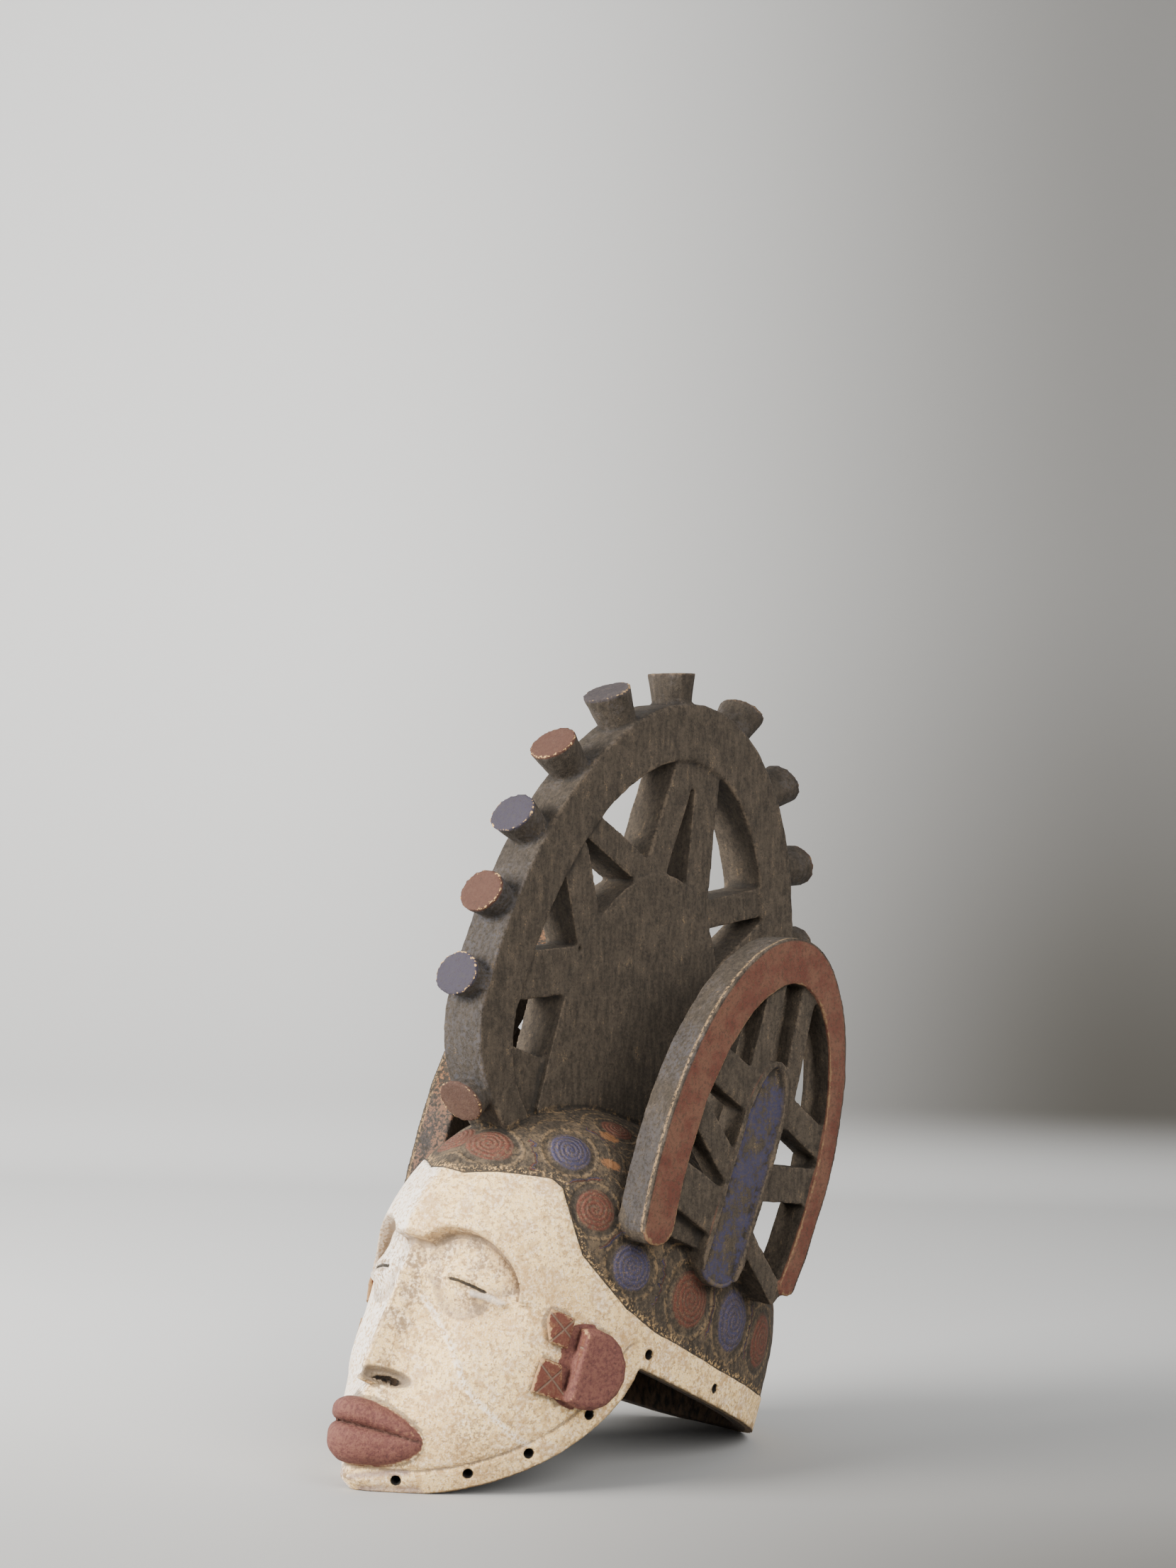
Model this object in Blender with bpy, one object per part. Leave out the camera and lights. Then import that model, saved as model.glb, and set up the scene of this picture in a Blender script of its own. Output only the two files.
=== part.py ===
"""Agbogho mmuo helmet mask: a maiden spirit's face under an openwork crest, carved from one log.

Mask frame, before the mask leans back: x is the mask's own left, y runs back from the chin,
z runs up the face, with zero at the underside of the chin. A place on the side of the mask is
written as (back, height). At the end the mask leans back until chin and rear rim share a floor.
"""
import math

import bmesh
import bpy
from mathutils import Matrix, Vector

# Head and helmet, in metres
CENTRE_BACK = 0.125          # the head's widest line, behind the chin
FRONT_REACH = 0.135          # from that line forward to the face
REAR_REACH = 0.187           # from that line back to the nape
HALF_WIDTH = 0.093           # half of the helmet's width
WIDEST_HEIGHT = 0.150        # height of the widest level
CROWN_HEIGHT = 0.278         # top of the head, without the crests
CHIN_DROP = 0.006            # the face's form runs this far below the jaw's cut
FACE_WALL = 0.026            # wood behind the face
SIDE_WALL = 0.014            # wall of the helmet's sides and nape
CROWN_WALL = 0.020           # wood over the wearer's head
FACE_SQUARENESS = 1.8        # roundness of the face in plan, 2 is an ellipse
NAPE_SQUARENESS = 2.4        # roundness of the nape in plan
CROWN_ROUNDNESS = 2.1        # the same of the profiles above the widest level
FRONT_DROP_ROUNDNESS = 12.0  # and of those below it: front, rear and side
REAR_DROP_ROUNDNESS = 4.0
SIDE_DROP_ROUNDNESS = 2.8

# Lower edge: the jaw rises in a curve to the ears, the rim runs on to the nape
JAW_BACK = 0.124             # where the jaw's curve ends behind the ear
JAW_RISE = 0.119             # how high it has risen there
JAW_ROUNDNESS = 1.46
NAPE_HEIGHT = 0.098          # the rim's height at the nape
RIM_HOLE_DIAMETER = 0.0065
RIM_HOLE_INSET = 0.0105      # from the edge to a hole's centre
RIM_HOLE_BACKS = (0.012, 0.046, 0.075, 0.105, 0.128, 0.201)   # where on the edge each one stands
CONTACT_TRIM = 0.0022        # flat worn on the two places the mask stands on
SPREAD_FROM = 0.0192         # the middle crest and its knobs keep their place; beyond it
SPREAD_OUT = 0.145           # each side stands this share further out
SPREAD_FORWARD = 0.140       # and this share further forward, level with the floor

# Face
BROW_BULGE = 0.004
SOCKET_DEPTH = 0.0115
SOCKET_CENTRE = (0.035, 0.137)
SOCKET_SIZE = (0.029, 0.034)
SOCKET_BLUR = (1.12, 0.86)   # where its edge begins and ends, as shares of its size
CHEEK_HOLLOW = 0.007
CHEEK_BLUR = (1.30, 0.70)    # below the socket it fades into the cheek
CHEEK_FADE = 0.055           # over this height
MUZZLE_BULGE = 0.006
NOSE_TOP_HEIGHT = 0.158
NOSE_TIP_HEIGHT = 0.066
NOSE_BRIDGE_BACK = -0.003    # the ridge at its top, minus is in front of the chin line
NOSE_TIP_BACK = -0.021
NOSE_RIDGE_HALF_WIDTH = 0.0035
NOSE_HALF_WIDTHS = (0.008, 0.022)   # at the bridge and at the nostrils
NOSE_SIDE_BACK = 0.008       # where its sides meet the cheeks
EYE_CENTRE = (0.043, 0.140)
EYE_SIZE = (0.021, 0.0115)
EYE_BULGE = 0.006
EYE_SLIT_LENGTH = 0.036
EYE_SLIT_WIDTH = 0.0022
EYE_SLIT_DEPTH = 0.005
EYE_SLIT_DROP = 0.001        # below the middle of the eye
EYE_SLIT_TURN = 40.0         # degrees round the face, as the wood turns there
EYE_SLANT = 3.0              # degrees down towards the temple
MOUTH_HEIGHT = 0.039
MOUTH_HALF_WIDTH = 0.038
UPPER_LIP_HEIGHT = 0.017
LOWER_LIP_HEIGHT = 0.024
UPPER_LIP_BULGE = 0.013
LOWER_LIP_BULGE = 0.014
CHIN_BULGE = 0.005
CHIN_HEIGHT = 0.007

# Where face paint ends and hair begins
HAIRLINE_HEIGHT = 0.210      # above the brow
TEMPLE_BACK = 0.045          # from here it falls towards the ear
TEMPLE_HEIGHT = 0.224
TEMPLE_SLOPE = 1.1
HAIR_LOWEST = 0.137

# Ears and the raised scars in front of them
EAR_PLACE = (0.083, 0.110)
EAR_RADIUS = 0.025
EAR_OPENING = 115            # degrees from its rear to where its round edge stops in front
EAR_THICKNESS = 0.011
EAR_EDGE = 0.003             # how far its rim is rounded off
SCAR_THICKNESS = 0.005
DIAMOND_PLACE = (0.060, 0.129)
DIAMOND_CORNERS = ((-0.009, 0.010), (-0.010, 0.002), (-0.005, -0.010), (0.008, -0.011),
                   (0.008, 0.008))
FAN_PLACE = (0.061, 0.098)
FAN_CORNERS = ((-0.008, 0.011), (-0.009, -0.011), (0.013, -0.011), (0.0065, 0.010))

# Middle crest, an arch over the head from brow to nape
CREST_CENTRE = (CENTRE_BACK + 0.002, CROWN_HEIGHT + 0.040)
CREST_OUTER = (0.144, 0.247, 0.104)   # half-width, rise above and drop below its centre
CREST_INNER = (0.113, 0.207, 0.090)
CREST_THICKNESS = 0.036
CREST_FOOT_HEIGHT = CROWN_HEIGHT - 0.042
CREST_WEB_TOPS = (CROWN_HEIGHT + 0.016, CROWN_HEIGHT + 0.016)   # solid wood up to here, front and rear
CREST_WEB_THICKNESS = 0.026
TONGUE_CENTRE = (CENTRE_BACK, CROWN_HEIGHT + 0.052)
TONGUE_OUTER = (0.073, 0.113, 0.400)
TONGUE_THICKNESS = 0.0345
CREST_BAR_THICKNESS = 0.031
# Openwork bars: degrees from the apex on the arch and on the tongue, and width
CREST_FRONT_BARS = ((8, 15, 0.021), (50, 20, 0.019), (58, 62, 0.024), (84, 77, 0.031))
CREST_REAR_BARS = ((2, 20, 0.023), (49, 30, 0.020), (58, 62, 0.024), (84, 77, 0.031))

# Knobs along the middle crest, from its apex down each half
KNOB_FIRST = 0.031           # along the arch from its apex
KNOB_SPACING = 0.0545
KNOB_LOWEST_EXTRA = 0.022    # the lowest one stands further off
KNOB_HEIGHTS = (0.021, 0.024, 0.024, 0.020, 0.016, 0.013, 0.011)
KNOB_BASE = (0.029, 0.022)   # across the crest, along the crest
KNOB_TOP = (0.038, 0.030)
KNOB_SIDES = 14

# Side crests, one above each ear
SIDE_CREST_MIDDLE = HALF_WIDTH - 0.001   # its middle plane, from the mask's middle
SIDE_CREST_THICKNESS = 0.024
SIDE_CREST_CENTRE = (CENTRE_BACK + 0.041, WIDEST_HEIGHT + 0.115)
SIDE_CREST_OUTER = (0.081, 0.153, 0.190)
SIDE_CREST_INNER = (0.060, 0.124, 0.165)
SIDE_CREST_INNER_SHIFT = 0.006   # the opening lies this far behind the middle, so the rear leg is thin
SIDE_CREST_TILT = 4.0        # degrees back
SIDE_CREST_FOOT_HEIGHT = WIDEST_HEIGHT + 0.053
SIDE_CREST_WEB_TOPS = (WIDEST_HEIGHT + 0.072, WIDEST_HEIGHT + 0.056)
SIDE_CREST_WEB_FACE = HALF_WIDTH + 0.0007    # the web lies nearly flush with the head
SIDE_CREST_WEB_THICKNESS = 0.018
SIDE_TONGUE_CENTRE = (CENTRE_BACK + 0.046, WIDEST_HEIGHT + 0.140)
SIDE_TONGUE_OUTER = (0.020, 0.046, 0.600)
SIDE_TONGUE_THICKNESS = 0.0215
SIDE_BAR_THICKNESS = 0.017
SIDE_FRONT_BARS = ((21, 53, 0.016), (66, 66, 0.026), (82, 93, 0.018), (101, 96, 0.030))
SIDE_REAR_BARS = ((8, 75, 0.014), (74, 66, 0.020), (88, 93, 0.024), (115, 97, 0.014))

# How finely the forms are faceted
FACE_COLUMNS = 40
FACE_SPREAD = 75.0           # degrees either side of the nose
NAPE_COLUMNS = 18
CAVITY_COLUMNS = 28
ARCH_STEPS = 44
TONGUE_STEPS = 24
SIDE_TONGUE_STEPS = 12
FOOT_SIDES = 16
CAVITY_DROP = 0.060          # the hollow's cutter runs this far below the chin
CUTTER_MARGIN = 0.060        # and the other cutters this far past the wood
FLOOR_SIZE = (0.5, 0.8, 0.1)
SINK = 0.006                 # how far a joined form runs into its neighbour
HAIR = 0.00015               # keeps two carved faces from lying in one plane
FOOT_STAGGER = 0.0011        # so that the feet of arch, tongue and web end at three levels

FINISHES = {
    "kaolin_white": ((0.80, 0.74, 0.60, 1.0), 0.85),
    "hair_brown": ((0.10, 0.08, 0.06, 1.0), 0.80),
    "camwood_red": ((0.32, 0.10, 0.08, 1.0), 0.80),
    "inside_brown": ((0.04, 0.03, 0.025, 1.0), 0.95),
}


def clear_scene():
    for thing in list(bpy.data.objects):
        bpy.data.objects.remove(thing, do_unlink=True)


def finish(name):
    """One plain painted-wood material, made once."""
    material = bpy.data.materials.get(name)
    if material is None:
        colour, roughness = FINISHES[name]
        material = bpy.data.materials.new(name)
        material.use_nodes = True
        shader = material.node_tree.nodes["Principled BSDF"]
        shader.inputs["Base Color"].default_value = colour
        shader.inputs["Roughness"].default_value = roughness
        shader.inputs["Metallic"].default_value = 0.0
    return material


def spread(mesh_builder):
    """Set the mask's two sides out and forward, away from the middle crest."""
    lean = lean_angle()[0]
    for vert in mesh_builder.verts:
        beyond = max(abs(vert.co.x) - SPREAD_FROM, 0.0)
        ahead = SPREAD_FORWARD * beyond
        vert.co.x += math.copysign(SPREAD_OUT * beyond, vert.co.x)
        vert.co.y -= ahead * math.cos(lean)
        vert.co.z -= ahead * math.sin(lean)


def link_mesh(name, mesh_builder, material, parent, helper=True):
    """Turn a bmesh into an object; a helper is a form that is joined to or cut from the mask."""
    spread(mesh_builder)
    bmesh.ops.recalc_face_normals(mesh_builder, faces=mesh_builder.faces)
    mesh = bpy.data.meshes.new(name)
    mesh_builder.to_mesh(mesh)
    mesh_builder.free()
    mesh.materials.append(finish(material))
    thing = bpy.data.objects.new(name, mesh)
    bpy.context.scene.collection.objects.link(thing)
    thing.parent = parent
    if helper:
        thing.hide_render = True
        thing.display_type = "WIRE"
    return thing


def fullness(ratio, power):
    """Height of a rounded profile, 1 at ratio 0 and 0 at ratio 1."""
    ratio = min(abs(ratio), 1.0)
    return (1.0 - ratio ** power) ** (1.0 / power)


def smooth(value, start, end):
    """0 at start, 1 at end, eased between them."""
    share = min(max((value - start) / (end - start), 0.0), 1.0)
    return share * share * (3.0 - 2.0 * share)


def hump(offset, spread):
    return math.exp(-(offset / spread) ** 2)


def signed_power(value, power):
    return math.copysign(abs(value) ** power, value)


def head_reaches(height):
    """How far the head's surface lies from its centre line: to the front, the rear, the side."""
    if height >= WIDEST_HEIGHT:
        share = fullness((height - WIDEST_HEIGHT) / (CROWN_HEIGHT - WIDEST_HEIGHT), CROWN_ROUNDNESS)
        return FRONT_REACH * share, REAR_REACH * share, HALF_WIDTH * share
    ratio = (WIDEST_HEIGHT - height) / (WIDEST_HEIGHT + CHIN_DROP)
    return (FRONT_REACH * fullness(ratio, FRONT_DROP_ROUNDNESS),
            REAR_REACH * fullness(ratio, REAR_DROP_ROUNDNESS),
            HALF_WIDTH * fullness(ratio, SIDE_DROP_ROUNDNESS))


def cavity_reaches(height):
    """The same for the hollow inside, down to the level of the chin."""
    crown = CROWN_HEIGHT - CROWN_WALL
    if height >= WIDEST_HEIGHT:
        share = fullness((height - WIDEST_HEIGHT) / (crown - WIDEST_HEIGHT), CROWN_ROUNDNESS)
    else:
        share = 1.0
    front, rear, side = head_reaches(min(max(height, 0.0), WIDEST_HEIGHT))
    return (front - FACE_WALL) * share, (rear - SIDE_WALL) * share, (side - SIDE_WALL) * share


def plan_point(reaches, angle, height):
    """Point of a level at an angle from the nose, plain round form."""
    front, rear, side = reaches
    forward = math.cos(angle)
    square = FACE_SQUARENESS if forward >= 0.0 else NAPE_SQUARENESS
    reach = front if forward >= 0.0 else rear
    x = side * signed_power(math.sin(angle), 2.0 / square)
    y = CENTRE_BACK - reach * signed_power(forward, 2.0 / square)
    return Vector((x, y, height))


def nose_back(x, z):
    """Where the nose's planes lie at a place of the face, or far back where there is no nose."""
    if z > NOSE_TOP_HEIGHT or z < NOSE_TIP_HEIGHT - 0.004:
        return 1.0
    share = min((NOSE_TOP_HEIGHT - z) / (NOSE_TOP_HEIGHT - NOSE_TIP_HEIGHT), 1.0)
    ridge = NOSE_BRIDGE_BACK + (NOSE_TIP_BACK - NOSE_BRIDGE_BACK) * share
    wide = NOSE_HALF_WIDTHS[0] + (NOSE_HALF_WIDTHS[1] - NOSE_HALF_WIDTHS[0]) * share
    across = max(abs(x) - NOSE_RIDGE_HALF_WIDTH, 0.0) / (wide - NOSE_RIDGE_HALF_WIDTH)
    under = smooth(z, NOSE_TIP_HEIGHT, NOSE_TIP_HEIGHT - 0.004)
    return ridge + (NOSE_SIDE_BACK - ridge) * max(across, under)


def lip_bulge(x, z):
    """How far the lips stand out."""
    across = abs(x) / MOUTH_HALF_WIDTH
    if across >= 1.0:
        return 0.0
    taper = math.sqrt(1.0 - across ** 2)
    above = (z - MOUTH_HEIGHT) / (UPPER_LIP_HEIGHT * taper)
    below = (MOUTH_HEIGHT - z) / (LOWER_LIP_HEIGHT * taper)
    if 0.0 <= above < 1.0:
        return UPPER_LIP_BULGE * taper * math.sqrt(max(0.0, 1.0 - (2.0 * above - 1.0) ** 2))
    if 0.0 < below < 1.0:
        return LOWER_LIP_BULGE * taper * math.sqrt(max(0.0, 1.0 - (2.0 * below - 1.0) ** 2))
    return 0.0


def face_forward(x, z):
    """Soft carving of the face, as how far the wood stands forward of the plain form."""
    side = abs(x)
    from_socket = math.hypot((side - SOCKET_CENTRE[0]) / SOCKET_SIZE[0],
                             (z - SOCKET_CENTRE[1]) / SOCKET_SIZE[1])
    socket = smooth(from_socket, *SOCKET_BLUR)
    if z < SOCKET_CENTRE[1]:
        across = abs(side - SOCKET_CENTRE[0]) / SOCKET_SIZE[0]
        fade = smooth(z, SOCKET_CENTRE[1] - CHEEK_FADE, SOCKET_CENTRE[1])
        socket = smooth(across, *CHEEK_BLUR) * fade
    cheek = hump(side - 0.025, 0.018) * smooth(z, 0.048, 0.070) * smooth(z, 0.150, 0.110)
    brow = hump(z - 0.168, 0.022) * hump(side, 0.060)
    muzzle = hump(side, 0.022) * hump(z - 0.040, 0.024)
    chin = hump(side, 0.016) * hump(z - CHIN_HEIGHT, 0.006)
    eye = max(0.0, 1.0 - math.hypot((side - EYE_CENTRE[0]) / EYE_SIZE[0],
                                    (z - EYE_CENTRE[1]) / EYE_SIZE[1]) ** 2)
    return (BROW_BULGE * brow - SOCKET_DEPTH * socket - CHEEK_HOLLOW * cheek
            + MUZZLE_BULGE * muzzle + CHIN_BULGE * chin + EYE_BULGE * math.sqrt(eye))


def head_point(angle, height):
    """Point of the carved head, with the face's features."""
    point = plan_point(head_reaches(height), angle, height)
    turned = math.cos(angle)
    if turned > 0.0:
        ease = smooth(turned, 0.0, 0.35)
        y = point.y - face_forward(point.x, height) * ease
        if abs(point.x) < NOSE_HALF_WIDTHS[1] + 0.01:
            y = min(y, nose_back(point.x, height))
        point.y = y - lip_bulge(point.x, height) * ease
    return point


def surface_frame(back, height, side):
    """A matrix standing on the side of the head: its z axis points out of the wood."""
    def place(at_back, at_height):
        front, rear, wide = head_reaches(at_height)
        ahead = CENTRE_BACK - at_back
        reach, square = (front, FACE_SQUARENESS) if ahead >= 0.0 else (rear, NAPE_SQUARENESS)
        return Vector((side * wide * fullness(ahead / reach, square), at_back, at_height))

    step = 0.002
    spot = place(back, height)
    along = (place(back + step, height) - spot).normalized()
    up = (place(back, height + step) - spot).normalized()
    out = along.cross(up).normalized() * side
    up = out.cross(along).normalized() * side
    frame = Matrix((along, up, out)).transposed().to_4x4()
    frame.translation = spot
    return frame


def levels(start, end, step):
    count = max(1, round((end - start) / step))
    return [start + (end - start) * index / count for index in range(count)]


def head_levels():
    """Heights of the head's rows: close on mouth and nose, wider above, bunched at the crown."""
    rows = levels(-CHIN_DROP * 0.7, 0.010, 0.0045)
    rows += levels(0.010, NOSE_TIP_HEIGHT - 0.004, 0.0042)
    rows += levels(NOSE_TIP_HEIGHT - 0.004, NOSE_TIP_HEIGHT + 0.004, 0.004)
    rows += levels(NOSE_TIP_HEIGHT + 0.004, 0.118, 0.0085)
    rows += levels(0.118, 0.180, 0.0052)
    rise = CROWN_HEIGHT - 0.180
    rows += [0.180 + rise * math.sin(math.radians(turn)) for turn in range(0, 84, 12)]
    return rows


def head_angles():
    """Angles from the nose, close across the face and wide round the nape."""
    spread = math.radians(FACE_SPREAD)
    angles = [-spread + 2.0 * spread * index / FACE_COLUMNS for index in range(FACE_COLUMNS)]
    rest = 2.0 * math.pi - 2.0 * spread
    angles += [spread + rest * index / NAPE_COLUMNS for index in range(NAPE_COLUMNS)]
    return angles


def stacked_form(rows, bottom, top):
    """Close a stack of equal rings of points into one solid with a point at each end."""
    builder = bmesh.new()
    rings = [[builder.verts.new(point) for point in row] for row in rows]
    count = len(rings[0])
    low = builder.verts.new(bottom)
    high = builder.verts.new(top)
    for lower, upper in zip(rings, rings[1:]):
        for index in range(count):
            after = (index + 1) % count
            builder.faces.new((lower[index], lower[after], upper[after], upper[index]))
    for index in range(count):
        after = (index + 1) % count
        builder.faces.new((low, rings[0][after], rings[0][index]))
        builder.faces.new((high, rings[-1][index], rings[-1][after]))
    return builder


def make_head(parent):
    """The whole outer form of face and hair, still solid."""
    angles = head_angles()
    rows = [[head_point(angle, height) for angle in angles] for height in head_levels()]
    builder = stacked_form(rows, (0.0, CENTRE_BACK, -CHIN_DROP), (0.0, CENTRE_BACK, CROWN_HEIGHT))
    head = link_mesh("helmet_mask", builder, "kaolin_white", parent, helper=False)
    for name in ("hair_brown", "camwood_red", "inside_brown"):
        head.data.materials.append(finish(name))
    for face in head.data.polygons:
        centre = face.center
        hairline = HAIRLINE_HEIGHT
        if centre.y >= TEMPLE_BACK:
            hairline = TEMPLE_HEIGHT - TEMPLE_SLOPE * (centre.y - TEMPLE_BACK)
        if centre.z > max(hairline, HAIR_LOWEST):
            face.material_index = 1
        face.use_smooth = True
    head.data.set_sharp_from_angle(angle=math.radians(35))
    return head


def make_cavity(parent):
    """The hollow for the wearer's head, open below."""
    crown = CROWN_HEIGHT - CROWN_WALL
    heights = [-CAVITY_DROP, -CAVITY_DROP / 2.0] + levels(0.0, WIDEST_HEIGHT, 0.022)
    rise = crown - WIDEST_HEIGHT
    steps = range(0, 84, 14)
    heights += [WIDEST_HEIGHT + rise * math.sin(math.radians(turn)) for turn in steps]
    angles = [2.0 * math.pi * index / CAVITY_COLUMNS for index in range(CAVITY_COLUMNS)]
    rows = [[plan_point(cavity_reaches(height), angle, height) for angle in angles]
            for height in heights]
    builder = stacked_form(rows, (0.0, CENTRE_BACK, -CAVITY_DROP - SINK),
                           (0.0, CENTRE_BACK, crown))
    return link_mesh("cavity_cutter", builder, "inside_brown", parent)


def side_prism(builder, outline, *stations):
    """Add a prism to a bmesh: an outline of (back, height) points drawn across over stations of x."""
    rings = [[builder.verts.new((station, back, height)) for back, height in outline]
             for station in stations]
    builder.faces.new(rings[0])
    builder.faces.new(reversed(rings[-1]))
    count = len(outline)
    for near, far in zip(rings, rings[1:]):
        for index in range(count):
            after = (index + 1) % count
            builder.faces.new((near[after], near[index], far[index], far[after]))


def jaw_height(back):
    """Height of the lower edge at a distance behind the chin."""
    if back <= 0.0:
        return 0.0
    if back < JAW_BACK:
        return JAW_RISE * (1.0 - fullness(back / JAW_BACK, JAW_ROUNDNESS))
    nape = CENTRE_BACK + REAR_REACH
    return JAW_RISE + (NAPE_HEIGHT - JAW_RISE) * (back - JAW_BACK) / (nape - JAW_BACK)


def make_underside(parent):
    """Everything below the jaw and the rim."""
    backs = [JAW_BACK * math.sin(math.radians(turn)) for turn in range(0, 91, 9)]
    outline = [(-CUTTER_MARGIN, 0.0)] + [(back, jaw_height(back)) for back in backs]
    far = CENTRE_BACK + REAR_REACH + CUTTER_MARGIN
    outline += [(far, jaw_height(far)), (far, -CUTTER_MARGIN), (-CUTTER_MARGIN, -CUTTER_MARGIN)]
    builder = bmesh.new()
    reach = HALF_WIDTH + CUTTER_MARGIN
    side_prism(builder, outline, -reach, -SPREAD_FROM, SPREAD_FROM, reach)
    return link_mesh("underside_cutter", builder, "kaolin_white", parent)


def make_rim_holes(parent):
    """Lacing holes along jaw and rim, square to the wood, the same on both sides."""
    builder = bmesh.new()
    step = 0.002
    for side in (-1.0, 1.0):
        for back in RIM_HOLE_BACKS:
            edge = Vector((back, jaw_height(back)))
            along = (Vector((back + step, jaw_height(back + step))) - edge).normalized()
            spot = edge + Vector((-along.y, along.x)) * RIM_HOLE_INSET
            reach = SIDE_WALL + 0.010
            bmesh.ops.create_cone(builder, cap_ends=True, segments=8, depth=2.0 * reach,
                                  radius1=RIM_HOLE_DIAMETER / 2.0,
                                  radius2=RIM_HOLE_DIAMETER / 2.0,
                                  matrix=surface_frame(spot.x, spot.y, side))
    return link_mesh("rim_hole_cutter", builder, "inside_brown", parent)


def arch_point(centre, sizes, degrees, side):
    """Point of a flattened arch, its angle measured from the apex, side 1 towards the nape."""
    half_width, rise, drop = sizes
    turn = math.radians(degrees)
    tall = rise if math.cos(turn) >= 0.0 else drop
    return (centre[0] + side * half_width * math.sin(turn), centre[1] + tall * math.cos(turn))


def arch_outline(centre, sizes, foot_height, steps=ARCH_STEPS):
    """Points along an arch from its front foot over the apex to its rear foot."""
    tall = sizes[1] if foot_height > centre[1] else sizes[2]
    end = math.degrees(math.acos(max(-1.0, min(1.0, (foot_height - centre[1]) / tall))))
    turns = [end * (1.0 - 2.0 * index / steps) for index in range(steps + 1)]
    return [arch_point(centre, sizes, abs(turn), -1.0 if turn > 0.0 else 1.0) for turn in turns]


def tilted(points, pivot, degrees):
    """Lean points of a side view back about a pivot."""
    turn = math.radians(degrees)
    moved = []
    for back, height in points:
        along, up = back - pivot[0], height - pivot[1]
        moved.append((pivot[0] + along * math.cos(turn) + up * math.sin(turn),
                      pivot[1] - along * math.sin(turn) + up * math.cos(turn)))
    return moved


def bar_outline(start, end, width):
    """A straight bar between two points, run on into what holds it."""
    along = Vector((end[0] - start[0], end[1] - start[1]))
    along.normalize()
    across = Vector((-along.y, along.x)) * width / 2.0
    first = Vector(start) - along * SINK
    last = Vector(end) + along * SINK
    corners = (first + across, first - across, last - across, last + across)
    return [(corner.x, corner.y) for corner in corners]


def bar_lines(centre, inner, tongue_centre, tongue, front, rear):
    """Both ends and the width of each openwork bar, from the arch's inner edge to the tongue's edge."""
    lines = []
    for side, bars in ((-1.0, front), (1.0, rear)):
        for on_arch, on_tongue, width in bars:
            lines.append((arch_point(centre, inner, on_arch, side),
                          arch_point(tongue_centre, tongue, on_tongue, side), width))
    return lines


def arch_solid(name, outer_line, inner_line, middle, thickness, material, parent):
    builder = bmesh.new()
    side_prism(builder, outer_line + inner_line[::-1], middle - thickness / 2.0,
               middle + thickness / 2.0)
    return link_mesh(name, builder, material, parent)


def plate_solid(name, outline, middle, thickness, material, parent):
    builder = bmesh.new()
    side_prism(builder, outline, middle - thickness / 2.0, middle + thickness / 2.0)
    return link_mesh(name, builder, material, parent)


def bar_solids(name, lines, middle, thickness, pivot, tilt, material, parent):
    """Straight bars; each is a hair thicker than the one before, so no two faces coincide."""
    bars = []
    for index, (start, end, width) in enumerate(lines):
        outline = tilted(bar_outline(start, end, width), pivot, tilt)
        bars.append(plate_solid(f"{name}_{index + 1}", outline, middle,
                                thickness + 2.0 * HAIR * index, material, parent))
    return bars


def round_foot(name, first, second, middle, thickness, material, parent):
    """A leg's rounded end, on the line between its two lower corners."""
    centre = (Vector(first) + Vector(second)) / 2.0
    radius = (Vector(second) - Vector(first)).length / 2.0
    turns = [2.0 * math.pi * (index + 0.5) / FOOT_SIDES for index in range(FOOT_SIDES)]
    outline = [(centre.x + radius * math.cos(turn), centre.y + radius * math.sin(turn))
               for turn in turns]
    return plate_solid(name, outline, middle, thickness, material, parent)


def web_outline(centre, outer, foot, tops):
    """Solid wood between an arch's legs, from its feet up to a level at the front and at the rear."""
    legs = arch_outline(centre, outer, foot)
    front = [point for point in legs if point[0] < centre[0] and point[1] < tops[0]]
    rear = [point for point in legs if point[0] > centre[0] and point[1] < tops[1]]
    front.append(arch_outline(centre, outer, tops[0])[0])
    rear.insert(0, arch_outline(centre, outer, tops[1])[-1])
    return ([(back + SINK, height) for back, height in front]
            + [(back - SINK, height) for back, height in rear])


def make_middle_crest(parent):
    centre, foot = CREST_CENTRE, CREST_FOOT_HEIGHT
    lines = bar_lines(centre, CREST_INNER, TONGUE_CENTRE, TONGUE_OUTER, CREST_FRONT_BARS,
                      CREST_REAR_BARS)
    return [
        arch_solid("crest_arch", arch_outline(centre, CREST_OUTER, foot),
                   arch_outline(centre, CREST_INNER, foot), 0.0, CREST_THICKNESS, "hair_brown",
                   parent),
        plate_solid("crest_tongue", arch_outline(TONGUE_CENTRE, TONGUE_OUTER, foot, TONGUE_STEPS),
                    0.0, TONGUE_THICKNESS, "hair_brown", parent),
        plate_solid("crest_web", web_outline(centre, CREST_OUTER, foot, CREST_WEB_TOPS), 0.0,
                    CREST_WEB_THICKNESS, "hair_brown", parent),
    ] + bar_solids("crest_bar", lines, 0.0, CREST_BAR_THICKNESS, centre, 0.0, "hair_brown", parent)


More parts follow.
